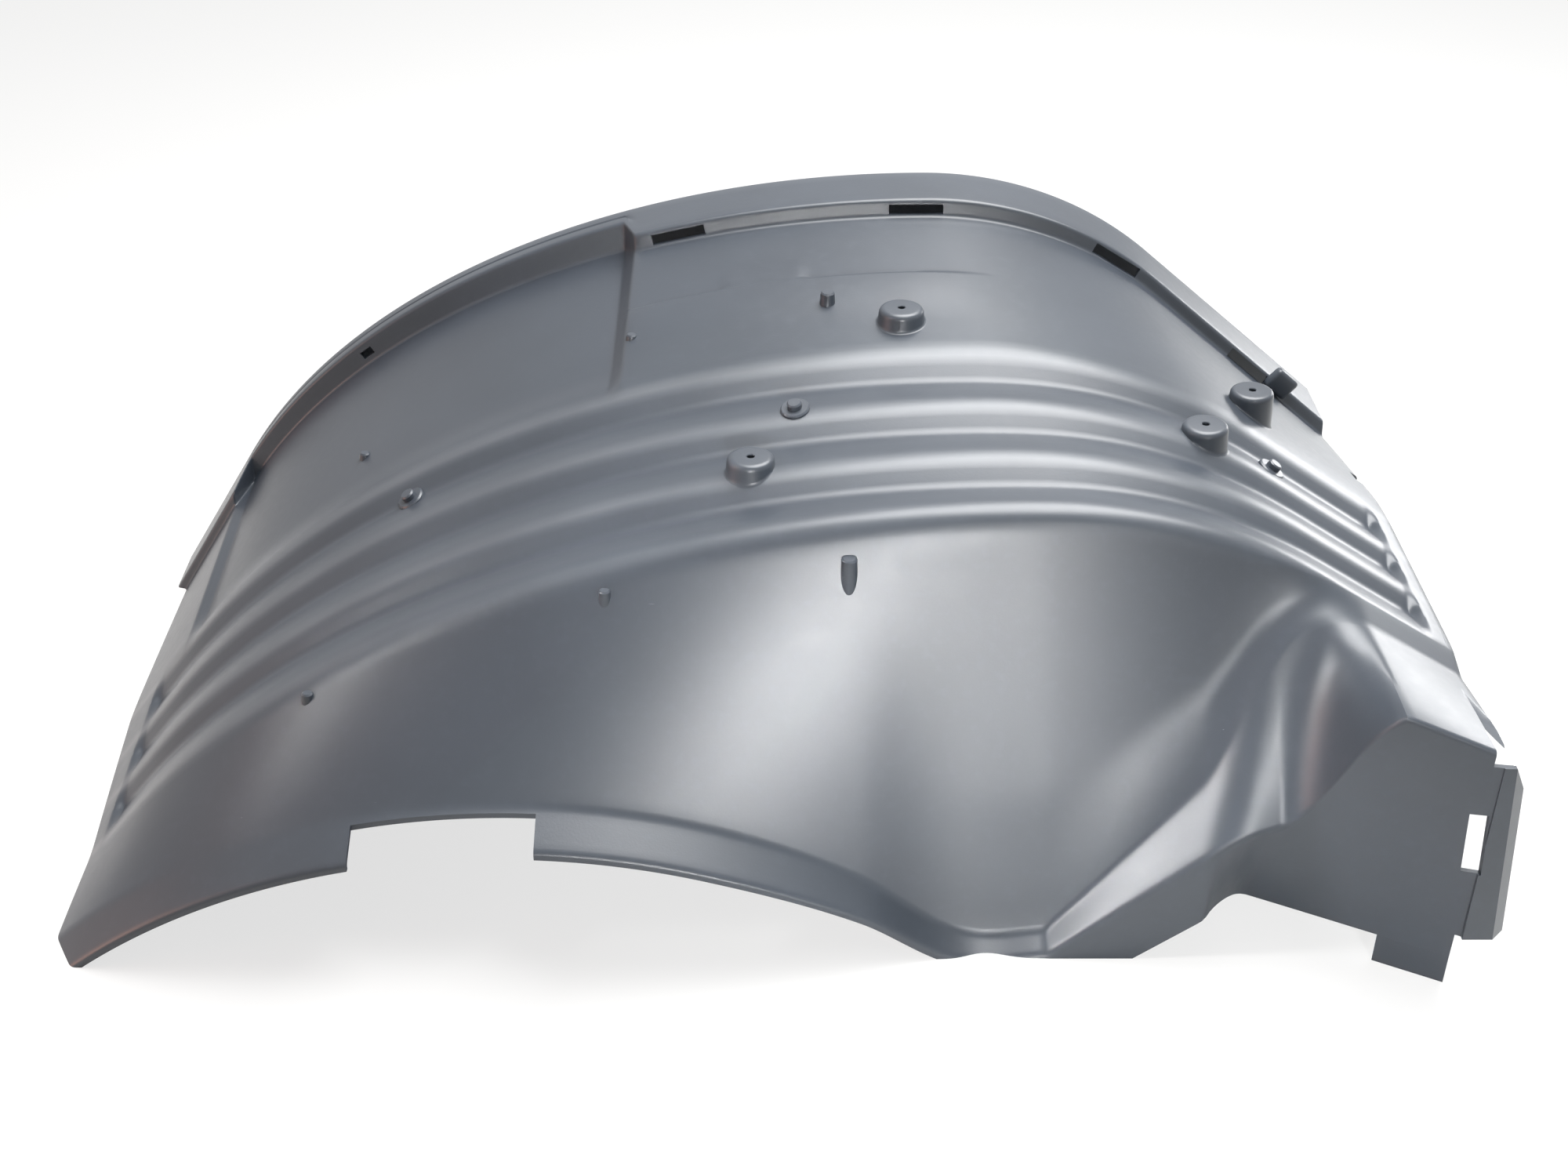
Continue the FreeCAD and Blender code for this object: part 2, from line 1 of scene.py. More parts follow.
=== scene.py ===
"""Looks of a moulded plastic wheel-arch fender for a truck cab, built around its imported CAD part.

Lengths in the classes are millimetres in the frame that the arch is drawn in: X along the arch, Y inboard
from the side wall, Z up from the floor. Meshes are moved to the row frame and to metres as they are made.
"""
import json
import logging
import math
from dataclasses import dataclass, field
from enum import Enum
from typing import Any, Iterable, Sequence

import bmesh
import bpy
import numpy as np
from mathutils import Matrix, Vector


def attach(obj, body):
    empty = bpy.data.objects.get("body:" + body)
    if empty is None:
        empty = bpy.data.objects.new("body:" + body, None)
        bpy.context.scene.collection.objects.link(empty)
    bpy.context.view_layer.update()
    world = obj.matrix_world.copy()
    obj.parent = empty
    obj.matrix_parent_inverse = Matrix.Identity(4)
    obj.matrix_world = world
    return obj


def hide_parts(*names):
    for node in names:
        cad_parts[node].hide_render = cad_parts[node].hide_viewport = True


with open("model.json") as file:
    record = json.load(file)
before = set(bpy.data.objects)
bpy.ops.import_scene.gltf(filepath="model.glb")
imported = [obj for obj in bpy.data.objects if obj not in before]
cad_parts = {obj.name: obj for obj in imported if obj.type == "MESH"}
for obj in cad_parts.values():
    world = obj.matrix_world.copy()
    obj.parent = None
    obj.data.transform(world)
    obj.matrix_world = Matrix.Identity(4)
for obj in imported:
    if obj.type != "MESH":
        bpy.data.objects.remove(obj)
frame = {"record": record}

LOG = logging.getLogger("fender")
NODE = "fender_shell"
BODY = "root"
MM = 0.001
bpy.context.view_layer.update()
FAR = 1000.0

Array = np.ndarray
Point = tuple[float, float, float]
MeshParts = tuple[list[Point], list[list[int]]]


class Ease(Enum):
    """How one form passes into the next along the arch."""

    SMOOTH = "smooth"
    STRAIGHT = "straight"


def climb(x: Array, start: float, end: float, kind: Ease = Ease.SMOOTH, soften: float = 1.2) -> Array:
    """Climb from 0 at start to 1 at end.

    Args:
        x: Places along the arch.
        start: Where the climb starts.
        end: Where it ends.
        kind: A smooth climb, or a straight one with its two corners eased.
        soften: Half of the length over which a straight climb's corners are eased.

    Returns:
        The share of the climb at each place.
    """
    if kind is Ease.SMOOTH:
        share = np.clip((x - start) / (end - start), 0.0, 1.0)
        return share * share * (3 - 2 * share)
    shifts = np.linspace(-soften, soften, 7)
    return np.mean([np.clip((x + shift - start) / (end - start), 0.0, 1.0) for shift in shifts], axis=0)


def srgb(code: str) -> tuple[float, float, float, float]:
    """Turn an sRGB hex colour to linear RGBA."""
    parts = [int(code[i:i + 2], 16) / 255 for i in (1, 3, 5)]
    linear = [c / 12.92 if c <= 0.04045 else ((c + 0.055) / 1.055) ** 2.4 for c in parts]
    return (linear[0], linear[1], linear[2], 1.0)


def add_node(tree: bpy.types.NodeTree, kind: str, settings: dict[str, Any] | None = None,
             inputs: dict[Any, Any] | None = None) -> bpy.types.Node:
    """Add a node with its settings, socket values and links.

    Args:
        tree: The tree that gets the node.
        kind: Blender's name of the node.
        settings: Properties of the node.
        inputs: Values of its input sockets, or output sockets to link to them.

    Returns:
        The new node.
    """
    node = tree.nodes.new(kind)
    for name, value in (settings or {}).items():
        setattr(node, name, value)
    for name, value in (inputs or {}).items():
        if isinstance(value, bpy.types.NodeSocket):
            tree.links.new(value, node.inputs[name])
        else:
            node.inputs[name].default_value = value
    return node


@dataclass(frozen=True)
class ArchLine:
    """One line along the arch: straight run-in, elliptic rise, round shoulder and a straight run down."""

    crown_x: float
    crown_z: float
    reach: float
    fall: float
    shoulder: float
    end_z: float
    run_in_x: float = -535.0
    end_x: float = 522.0

    def height(self, x: Array) -> Array:
        """Height of the line.

        Args:
            x: Places along the arch.

        Returns:
            The height at each place.
        """
        start = np.clip(x, self.run_in_x, self.crown_x)
        share = (self.crown_x - start) / self.reach
        root = np.sqrt(1 - share * share)
        slope = self.fall / self.reach * share / root
        left = self.crown_z - self.fall * (1 - root) - slope * np.maximum(start - x, 0.0)
        base = self.crown_z - self.shoulder
        run, rise = self.end_x - self.crown_x, self.end_z - base
        turn = math.atan2(run, rise) - math.acos(self.shoulder / math.hypot(run, rise))
        tangent_x = self.crown_x + self.shoulder * math.sin(turn)
        near = np.clip(x, self.crown_x, tangent_x) - self.crown_x
        right = base + np.sqrt(self.shoulder ** 2 - near * near)
        right = right - np.maximum(x - tangent_x, 0.0) * math.tan(turn)
        return np.where(x <= self.crown_x, left, right)

    def slope(self, x: Array) -> Array:
        """Slope of the line along the arch."""
        return (self.height(x + 1.0) - self.height(x - 1.0)) / 2.0


@dataclass(frozen=True)
class FenderSection:
    """Section of the moulding across the arch, and how it changes along the arch."""

    wall: float = 4.0
    rim: ArchLine = ArchLine(130.0, 418.0, 728.0, 495.0, 330.0, 190.0)
    crest_first: ArchLine = ArchLine(150.0, 372.0, 800.0, 600.0, 430.0, 211.0)
    crest_last: ArchLine = ArchLine(200.0, 337.0, 850.0, 570.0, 420.0, 211.0)
    rim_y: float = 578.0
    crest_first_y: float = 292.0
    crest_last_y: float = 100.0
    ribs: int = 4
    groove_depth: float = 12.0
    groove_drop_width: float = 22.0
    groove_start_x: float = -570.0
    groove_end_x: float = 506.0
    groove_end_run: float = 8.0
    skirt_height: float = 80.0
    lip_width: float = 66.0
    lip_drop: float = 15.0
    lip_lean: float = 3.0
    lip_fall: float = 2.0
    panel_toe_y: float = 332.0
    panel_toe_sink: float = 3.0
    step_x: float = -136.0
    step_run: float = 12.0
    recess_start_x: float = -541.0
    recess_rim_width: float = 32.0
    recess_depth: float = 11.0
    edge_crown_x: float = -215.0
    edge_crown_z: float = 134.0
    edge_radius: float = 560.0
    flare_out: float = 34.0
    flare_drop: float = 17.0
    flare_lip: float = 7.0
    flare_taper_x: float = -60.0
    flare_foot_share: float = 0.65
    shelf_start_x: float = 60.0
    shelf_foot_x: float = 206.0
    shelf_foot_z: float = 12.0
    shelf_root_y: float = -4.0
    shelf_turn: float = 0.2
    shelf_climb: float = 1.1
    shelf_front_y: float = -24.0
    shelf_front_z: float = 3.0
    shelf_front_climb: float = 0.88
    shelf_face_x: float = 266.0
    shelf_face_climb: float = 0.78
    wall_lean: float = 0.335
    wall_flat: float = 0.8
    box_start_x: float = 336.0
    box_full_x: float = 430.0
    box_front_y: float = -56.0
    box_turn: float = 0.14
    box_edge_z: float = 222.0
    box_edge_climb: float = 0.36
    box_ridge_width: float = 30.0
    box_ridge_sink: float = 8.0
    panel_foot_z: float = 26.0
    panel_foot_turn: float = 0.5
    nose_toe_x: float = 350.0
    nose_corner_x: float = 394.0
    nose_corner_y: float = -11.0
    nose_corner_z: float = 128.0
    nose_curl: float = 2.8
    nose_soft: float = 18.0
    nose_samples: int = 9
    rim_round: float = 7.0
    lip_round: float = 4.0
    crest_round: float = 18.0
    groove_round: float = 6.0
    wall_round: float = 14.0
    fold_round: float = 5.0
    edge_round: float = 1.0
    round_limit: float = 0.45
    straight_limit: float = 0.05
    arc_steps: int = 5

    def groove(self, x: Array) -> Array:
        """Depth of the grooves between the ribs."""
        run = self.groove_end_run
        opens = climb(x, self.groove_start_x, self.groove_start_x + run, Ease.STRAIGHT)
        closes = climb(x, self.groove_end_x - run, self.groove_end_x, Ease.STRAIGHT)
        return self.groove_depth * (opens - closes)

    def recess(self, x: Array) -> Array:
        """Share of the recess in the left half of the panel."""
        run = self.step_run
        opens = climb(x, self.recess_start_x, self.recess_start_x + run, Ease.STRAIGHT)
        return opens - climb(x, self.step_x - run, self.step_x, Ease.STRAIGHT)

    def crest_height(self, x: Array, y: Array | float) -> Array:
        """Height of the plane that touches the rib crests."""
        first, last = self.crest_first.height(x), self.crest_last.height(x)
        return first + (last - first) * (self.crest_first_y - y) / (self.crest_first_y - self.crest_last_y)

    def crest_places(self) -> list[float]:
        """Y of each rib crest, from the panel to the side wall."""
        pitch = (self.crest_first_y - self.crest_last_y) / (self.ribs - 1)
        return [self.crest_first_y - rib * pitch for rib in range(self.ribs)]

    def tread(self, x: Array) -> list[tuple[Array, Array, float]]:
        """Corners from the skirt to the last crest, as (y, z, setback of the rounding)."""
        recess, groove = self.recess(x), self.groove(x)
        sink = recess * self.recess_depth
        flat = np.zeros_like(x)
        rim_y, rim_z = flat + self.rim_y, self.rim.height(x)
        width = self.lip_width + (self.recess_rim_width - self.lip_width) * recess
        lip_y, lip_z = rim_y - width, rim_z - self.lip_fall * width / self.lip_width
        toe_z = self.crest_height(x, self.panel_toe_y) - self.panel_toe_sink - sink
        corners = [
            (rim_y, rim_z - self.skirt_height, 0.0),
            (rim_y, rim_z, self.rim_round),
            (lip_y, lip_z, self.lip_round),
            (lip_y - self.lip_lean, lip_z - self.lip_drop - sink, self.lip_round),
            (flat + self.panel_toe_y, toe_z, self.crest_round),
        ]
        for crest_y in self.crest_places():
            corners.append((flat + crest_y, self.crest_height(x, crest_y), self.crest_round))
            groove_y = crest_y - self.groove_drop_width
            corners.append((flat + groove_y, self.crest_height(x, groove_y) - groove, self.groove_round))
        return corners[:-1]

    def side_wall(self, x: Array) -> list[tuple[Array, Array, float]]:
        """Corners of the side wall as (y, z, setback of the rounding), eased along the arch at the nose."""
        start, full, ease = self.box_start_x, self.box_full_x, 2 * self.nose_soft
        reach = self.nose_soft * climb(x, start - ease, start) * (1 - climb(x, full, full + ease))
        shares = np.linspace(-1.0, 1.0, self.nose_samples)
        eased = np.mean([self.side_corners(x + reach * share) for share in shares], axis=0)
        rounds = (self.wall_round, self.wall_round, self.fold_round, self.fold_round, 0.0)
        return [(y, z, setback) for (y, z), setback in zip(eased, rounds)]

    def side_corners(self, x: Array) -> Array:
        """Corners of the side wall below the last crest, as an array of corner, (y, z) and place."""
        top = np.stack([np.zeros_like(x) + self.crest_last_y, self.crest_last.height(x)])
        shelf = climb(x, self.shelf_start_x, self.shelf_foot_x)
        plain, ledge = np.array(self.plain_wall(x, top)), np.array(self.shelf_wall(x, top))
        nose, boxed = np.array(self.nose_wall(x, top)), np.array(self.box_wall(x, top))
        wall = np.where(x > self.box_start_x, nose, plain + (ledge - plain) * shelf)
        return np.where(x >= self.box_full_x, boxed, wall)

    def with_flat(self, top: Array, fold: Array, rest: list[Array],
                  steady: Array | float = 0.0) -> list[Array]:
        """Two corners on the flat of the wall, then its fold and the rest.

        Args:
            top: The last crest.
            fold: Where the flat ends.
            rest: The corners below the fold.
            steady: Share by which the flat keeps an even lean.

        Returns:
            All the corners of the wall.
        """
        even_y = top[0] - self.wall_lean * (top[1] - fold[1])
        aim = np.stack([fold[0] + (even_y - fold[0]) * steady, fold[1]])
        return [top + (aim - top) / 3, top + (aim - top) * 2 / 3, fold] + rest

    def plain_wall(self, x: Array, top: Array) -> list[Array]:
        """Side wall over the wheel: flat, fold, flare and lip along the arched lower edge."""
        along = np.minimum(np.abs(x - self.edge_crown_x), self.edge_radius)
        edge_z = self.edge_crown_z - self.edge_radius + np.sqrt(self.edge_radius ** 2 - along * along)
        left_over = 1.0 - (1.0 - self.flare_foot_share) * climb(x, self.flare_taper_x, self.shelf_foot_x)
        fold = np.stack([np.zeros_like(x), edge_z])
        flare = np.stack([-self.flare_out * left_over, edge_z - self.flare_drop * left_over])
        return self.with_flat(top, fold, [flare, flare - np.array([[0.0], [self.flare_lip]])])

    def shelf_lines(self, x: Array) -> tuple[Array, Array, Array]:
        """Fold, front edge and lower edge of the climbing shelf."""
        along = np.maximum(x - self.shelf_foot_x, 0.0)
        fold_y = self.shelf_root_y + self.shelf_turn * along
        fold = np.stack([fold_y, self.shelf_foot_z + self.shelf_climb * along])
        front_y = np.zeros_like(x) + self.shelf_front_y
        face = self.shelf_face_climb * np.maximum(x - self.shelf_face_x, 0.0)
        front = np.stack([front_y, self.shelf_front_z + self.shelf_front_climb * along])
        return fold, front, np.stack([front_y, face - self.flare_lip])

    def box_lines(self, x: Array) -> tuple[Array, Array, Array]:
        """Ridge by the last crest, box edge and foot of the front panel."""
        back = self.rim.end_x - x
        flat = np.zeros_like(x)
        ridge_z = self.crest_last.height(x) - self.box_ridge_sink
        ridge = np.stack([flat + self.crest_last_y - self.box_ridge_width, ridge_z])
        edge_y = self.box_front_y + self.box_turn * back
        edge = np.stack([edge_y, self.box_edge_z + self.box_edge_climb * back])
        foot = np.stack([self.box_front_y + self.panel_foot_turn * back, flat + self.panel_foot_z])
        return ridge, edge, foot

    def shelf_wall(self, x: Array, top: Array) -> list[Array]:
        """Side wall over the climbing shelf: flat, fold, shelf and its front face."""
        fold, front, lower = self.shelf_lines(x)
        return self.with_flat(top, fold, [front, lower], self.wall_flat)

    def nose_wall(self, x: Array, top: Array) -> list[Array]:
        """Side wall at the nose of the box: curled fold, sloping side and the start of the front panel."""
        start, toe, corner, full = self.box_start_x, self.nose_toe_x, self.nose_corner_x, self.box_full_x
        shelf_fold, shelf_front, shelf_lower = self.shelf_lines(np.full_like(x, start))
        ridge, edge, _ = self.box_lines(np.full_like(x, full))
        share = np.clip((x - start) / (full - start), 0.0, 1.0)
        fold = shelf_fold + (ridge - shelf_fold) * (1 - (1 - share) ** self.nose_curl)
        nose = np.array([[self.nose_corner_y], [self.nose_corner_z]])
        lower_side = shelf_front + (nose - shelf_front) * (x - start) / (corner - start)
        front = np.where(x <= corner, lower_side, nose + (edge - nose) * (x - corner) / (full - corner))
        toe_foot = self.box_lines(np.full_like(x, toe))[2]
        turned = shelf_lower + (toe_foot - shelf_lower) * (x - start) / (toe - start)
        foot = np.where(x < toe, turned, self.box_lines(x)[2])
        return self.with_flat(top, fold, [front, foot], self.wall_flat * (1 - share))

    def box_wall(self, x: Array, top: Array) -> list[Array]:
        """Side wall at the box: ridge by the last crest, box edge and the panel down to its foot."""
        ridge, edge, foot = self.box_lines(x)
        return self.with_flat(top, ridge, [edge, foot])

    def corners(self, x: Array) -> tuple[Array, Array]:
        """All the corners of the section.

        Args:
            x: Places along the arch.

        Returns:
            The corners as an array of place, corner and (y, z), and each corner's setback.
        """
        rows = self.tread(x) + self.side_wall(x)
        points = np.stack([np.stack([y, z], axis=-1) for y, z, _ in rows], axis=1)
        return points, np.array([setback for _, _, setback in rows])

    def inner(self, x: Array, points: Array) -> Array:
        """The corners moved inward by the wall, measured square to the sloping skin.

        Args:
            x: Places along the arch.
            points: Corners of the outer skin.

        Returns:
            Corners of the inner skin.
        """
        sides = np.diff(points, axis=1)
        lengths = np.linalg.norm(sides, axis=-1)[..., None]
        normal = np.stack([-sides[..., 1], sides[..., 0]], axis=-1) / lengths
        gap = self.wall * np.hypot(1.0, self.crest_first.slope(x)[:, None] * normal[..., 1])
        a = np.concatenate([normal[:, :1], normal], axis=1)
        b = np.concatenate([normal, normal[:, -1:]], axis=1)
        a_gap = np.concatenate([gap[:, :1], gap], axis=1)
        b_gap = np.concatenate([gap, gap[:, -1:]], axis=1)
        cross = a[..., 0] * b[..., 1] - a[..., 1] * b[..., 0]
        straight = np.abs(cross) < self.straight_limit
        divisor = np.where(straight, 1.0, cross)
        mean = (a * a_gap[..., None] + b * b_gap[..., None]) / 2
        mitre_y = a_gap * b[..., 1] - b_gap * a[..., 1]
        mitre_z = b_gap * a[..., 0] - a_gap * b[..., 0]
        mitre = np.stack([mitre_y, mitre_z], axis=-1)
        return points + np.where(straight[..., None], mean, mitre / divisor[..., None])

    def rounded(self, points: Array, setbacks: Array, runs: Sequence[Array]) -> Array:
        """Points along the section, with each corner eased by a parabola.

        Args:
            points: Corners of the section at each place.
            setbacks: Distance from each corner at which its rounding starts.
            runs: Shares along each straight side at which it has a point.

        Returns:
            Points as an array of place, point and (y, z).
        """
        bends = np.linspace(0.0, 1.0, self.arc_steps + 1)[1:, None]
        path = [points[:, :1]]
        start = points[:, 0]
        for i in range(1, points.shape[1] - 1):
            corner = points[:, i]
            back, ahead = points[:, i - 1] - corner, points[:, i + 1] - corner
            wanted = [setbacks[i] / np.linalg.norm(side, axis=-1) for side in (back, ahead)]
            shares = [np.minimum(share, self.round_limit)[:, None] for share in wanted]
            enter, leave = corner + back * shares[0], corner + ahead * shares[1]
            path.append(start[:, None] + (enter - start)[:, None] * runs[i - 1][:, None])
            arc = enter[:, None] * (1 - bends) ** 2 + 2 * corner[:, None] * bends * (1 - bends)
            path.append(arc + leave[:, None] * bends ** 2)
            start = leave
        path.append(start[:, None] + (points[:, -1] - start)[:, None] * runs[-1][:, None])
        return np.concatenate(path, axis=1)

    def skin_height(self, x: float, y: float) -> float:
        """Height of the outer skin of the tread at one place."""
        place = np.array([float(x)])
        points, setbacks = self.corners(place)
        path = self.rounded(points, setbacks, SkinGrid().runs())[0]
        return float(np.interp(-y, -path[:, 0], path[:, 1]))

    def skin_normal(self, x: float, y: float) -> Vector:
        """Direction square to the crest plane at one place."""
        place = np.array([x - 1.0, x, x + 1.0])
        here = self.crest_height(place, y)
        across = (self.crest_height(place, y + 1.0) - self.crest_height(place, y - 1.0))[1] / 2
        return Vector((-(here[2] - here[0]) / 2, -across, 1.0)).normalized()


@dataclass(frozen=True)
class SkinGrid:
    """How finely the skin is divided: parts of each straight side, and spacing along the arch."""

    parts: tuple[int, ...] = (5, 5, 2, 12, 2, 1, 2, 1, 2, 1, 2, 6, 6, 6, 6, 4)
    rim_side: int = 1
    panel_side: int = 3
    extra: tuple[tuple[float, ...], ...] = ((0.40, 0.46, 0.54, 0.60), (0.555, 0.57, 0.59, 0.605))
    wide: float = 5.0
    close: float = 4.0
    fine: float = 1.5

    def runs(self) -> list[Array]:
        """Shares along each straight side, with close lines at the rim's groove and the panel's ledge."""
        rows = [np.linspace(0.0, 1.0, count + 1)[1:] for count in self.parts]
        for side, shares in zip((self.rim_side, self.panel_side), self.extra):
            rows[side] = np.unique(np.concatenate([rows[side], shares]))
        return rows

    def side_points(self, side: int, arc_steps: int) -> slice:
        """Numbers of the points on one straight side."""
        counts = [len(row) for row in self.runs()]
        start = 1 + sum(count + arc_steps for count in counts[:side])
        return slice(start, start + counts[side])


SECTION = FenderSection()
RECORD_BOSS = next(mount for mount in frame["record"]["mounts"] if mount["name"] == "boss_b_hole")


@dataclass(frozen=True)
class ScrewBoss:
    """A flat-topped cone with a screw hole, moulded onto the skin and hollow from below."""

    name: str
    x: float
    y: float
    rise: float
    root: float
    foot_radius: float = 20.0
    top_radius: float = 18.5
    hole_radius: float = 3.0
    floor: float = 4.0
    wall: float = 4.0
    fillet: float = 2.5
    top_round: float = 5.0
    hole_round: float = 0.6
    around: int = 64

    @property
    def top(self) -> float:
        """Height of the flat top."""
        return float(SECTION.crest_height(np.array([self.x]), self.y)[0]) + self.rise

    def radius(self, z: float) -> float:
        """Radius of the cone at a height."""
        share = (z - (self.top - self.rise - self.root)) / (self.rise + self.root)
        return self.foot_radius + (self.top_radius - self.foot_radius) * share

    def ring_profile(self, angle: float) -> list[tuple[float, float]]:
        """Profile of the boss in one direction.

        Args:
            angle: Direction from its axis.

        Returns:
            (radius, height) from the foot on the skin over the top and hole to the underside.
        """
        turn = (math.cos(angle), math.sin(angle))

        def skin(radius: float) -> float:
            return SECTION.skin_height(self.x + radius * turn[0], self.y + radius * turn[1])

        z = skin(self.foot_radius)
        for _ in range(4):
            z = skin(self.radius(z))
        z = min(z, self.top - 2 * self.top_round)
        rise = min(self.fillet, self.top - self.top_round - z)
        foot = (self.radius(z) + self.fillet, skin(self.radius(z) + self.fillet) - 0.1)
        bend = [foot, (self.radius(z), z), (self.radius(z + rise), z + rise)]
        edge = self.top - self.top_round
        flat_radius = self.top_radius - self.top_round
        crown = [(self.radius(edge), edge), (self.top_radius, self.top), (flat_radius, self.top)]
        profile = []
        for curve in (bend, crown):
            for t in np.linspace(0.0, 1.0, 6):
                weights = ((1 - t) ** 2, 2 * t * (1 - t), t * t)
                profile.append(tuple(sum(w * p[i] for w, p in zip(weights, curve)) for i in (0, 1)))
        ceiling = self.top - self.floor
        core = self.radius(ceiling) - self.wall
        low = z - 1.5 * self.wall
        profile += [
            (self.hole_radius + self.hole_round, self.top), (self.hole_radius, self.top - self.hole_round),
            (self.hole_radius, ceiling), (core - 1.0, ceiling), (core, ceiling - 1.0),
            (self.radius(z) - self.wall, min(z - self.wall, ceiling - 2.0)),
            (self.radius(z) - 0.3 * self.wall, min(low, ceiling - 3.0)),
        ]
        return profile

    def mesh_rows(self) -> MeshParts:
        """Vertices and faces of the closed boss."""
        rings = [self.ring_profile(2 * math.pi * i / self.around) for i in range(self.around)]
        count = len(rings[0])
        points = []
        for i, ring in enumerate(rings):
            angle = 2 * math.pi * i / self.around
            points += [(self.x + r * math.cos(angle), self.y + r * math.sin(angle), z) for r, z in ring]
        faces = []
        for i in range(self.around):
            a, b = i * count, (i + 1) % self.around * count
            faces += [[a + k, b + k, b + (k + 1) % count, a + (k + 1) % count] for k in range(count)]
        return points, faces


BOSSES = (
    ScrewBoss("boss_a", -26.0, 176.0, 7.0, 14.0),
    ScrewBoss("boss_b", 98.0, 341.0, 9.0, 9.0),
    ScrewBoss("boss_c", 403.0, 350.0, 16.0, 19.0),
    ScrewBoss("boss_d", 340.0, 240.0, 10.0, 17.0),
)
BOSS_PLACE = [RECORD_BOSS["pos_m"][axis] / MM for axis in (0, 1)]
SHIFT = np.array([BOSS_PLACE[0] - BOSSES[1].x, BOSS_PLACE[1] - BOSSES[1].y, 0.0])


def to_row(points: Iterable[Point]) -> list[Point]:
    """Move points from the arch's frame in millimetres to the row frame in metres."""
    return [tuple(row) for row in (np.array(list(points), float) + SHIFT) * MM]


def make_object(name: str, points: Iterable[Point], faces: Sequence[Sequence[int]]) -> bpy.types.Object:
    """Make a mesh object, with its faces turned outwards.

    Args:
        name: Name of the object.
        points: Vertices in the arch's frame, in millimetres.
        faces: Vertex numbers of each face.

    Returns:
        The object, linked to the scene.
    """
    mesh = bpy.data.meshes.new(name)
    mesh.from_pydata(to_row(points), [], [list(face) for face in faces])
    bm = bmesh.new()
    bm.from_mesh(mesh)
    bmesh.ops.recalc_face_normals(bm, faces=bm.faces)
    bm.to_mesh(mesh)
    bm.free()
    obj = bpy.data.objects.new(name, mesh)
    bpy.context.scene.collection.objects.link(obj)
    return obj


def apply_modifiers(obj: bpy.types.Object) -> None:
    """Turn an object's evaluated form into its plain mesh and remove its modifiers."""
    graph = bpy.context.evaluated_depsgraph_get()
    mesh = bpy.data.meshes.new_from_object(obj.evaluated_get(graph), depsgraph=graph)
    obj.modifiers.clear()
    old, obj.data = obj.data, mesh
    bpy.data.meshes.remove(old)


def combine(obj: bpy.types.Object, tools: bpy.types.Object, operation: str) -> None:
    """Cut or join another mesh into an object, and remove that mesh.

    Args:
        obj: The object that is changed.
        tools: Closed meshes in one object.
        operation: Blender's name of the operation.
    """
    modifier = obj.modifiers.new("combine", "BOOLEAN")
    modifier.operation = operation
    modifier.solver = "EXACT"
    modifier.object = tools
    apply_modifiers(obj)
    bpy.data.objects.remove(tools)


def shade(obj: bpy.types.Object, angle: float = 32.0) -> None:
    """Shade smooth, with edges sharper than an angle in degrees kept."""
    obj.data.shade_smooth()
    obj.data.set_sharp_from_angle(angle=math.radians(angle))


def prism(outline: Sequence[tuple[float, float]], low: float, high: float) -> MeshParts:
    """Upright prism over an outline of (x, y) points."""
    count = len(outline)
    points = [(x, y, z) for z in (low, high) for x, y in outline]
    sides = [[i, (i + 1) % count, count + (i + 1) % count, count + i] for i in range(count)]
    return points, [list(range(count)), list(range(count, 2 * count))] + sides


def turned_box(centre: Point, sides: Point, tilt: float = 0.0) -> MeshParts:
    """Box of the sides given about a centre, tilted about Y by an angle in degrees."""
    turn = Matrix.Rotation(math.radians(tilt), 3, "Y")
    outline = [(-0.5, -0.5), (0.5, -0.5), (0.5, 0.5), (-0.5, 0.5)]
    points, faces = prism(outline, -0.5, 0.5)
    moved = [Vector(centre) + turn @ Vector([p * s for p, s in zip(point, sides)]) for point in points]
    return [tuple(point) for point in moved], faces


def gather(parts: Iterable[MeshParts]) -> MeshParts:
    """Several meshes as one list of vertices and faces."""
    points: list[Point] = []
    faces: list[list[int]] = []
    for part_points, part_faces in parts:
        base = len(points)
        points += part_points
        faces += [[base + i for i in face] for face in part_faces]
    return points, faces


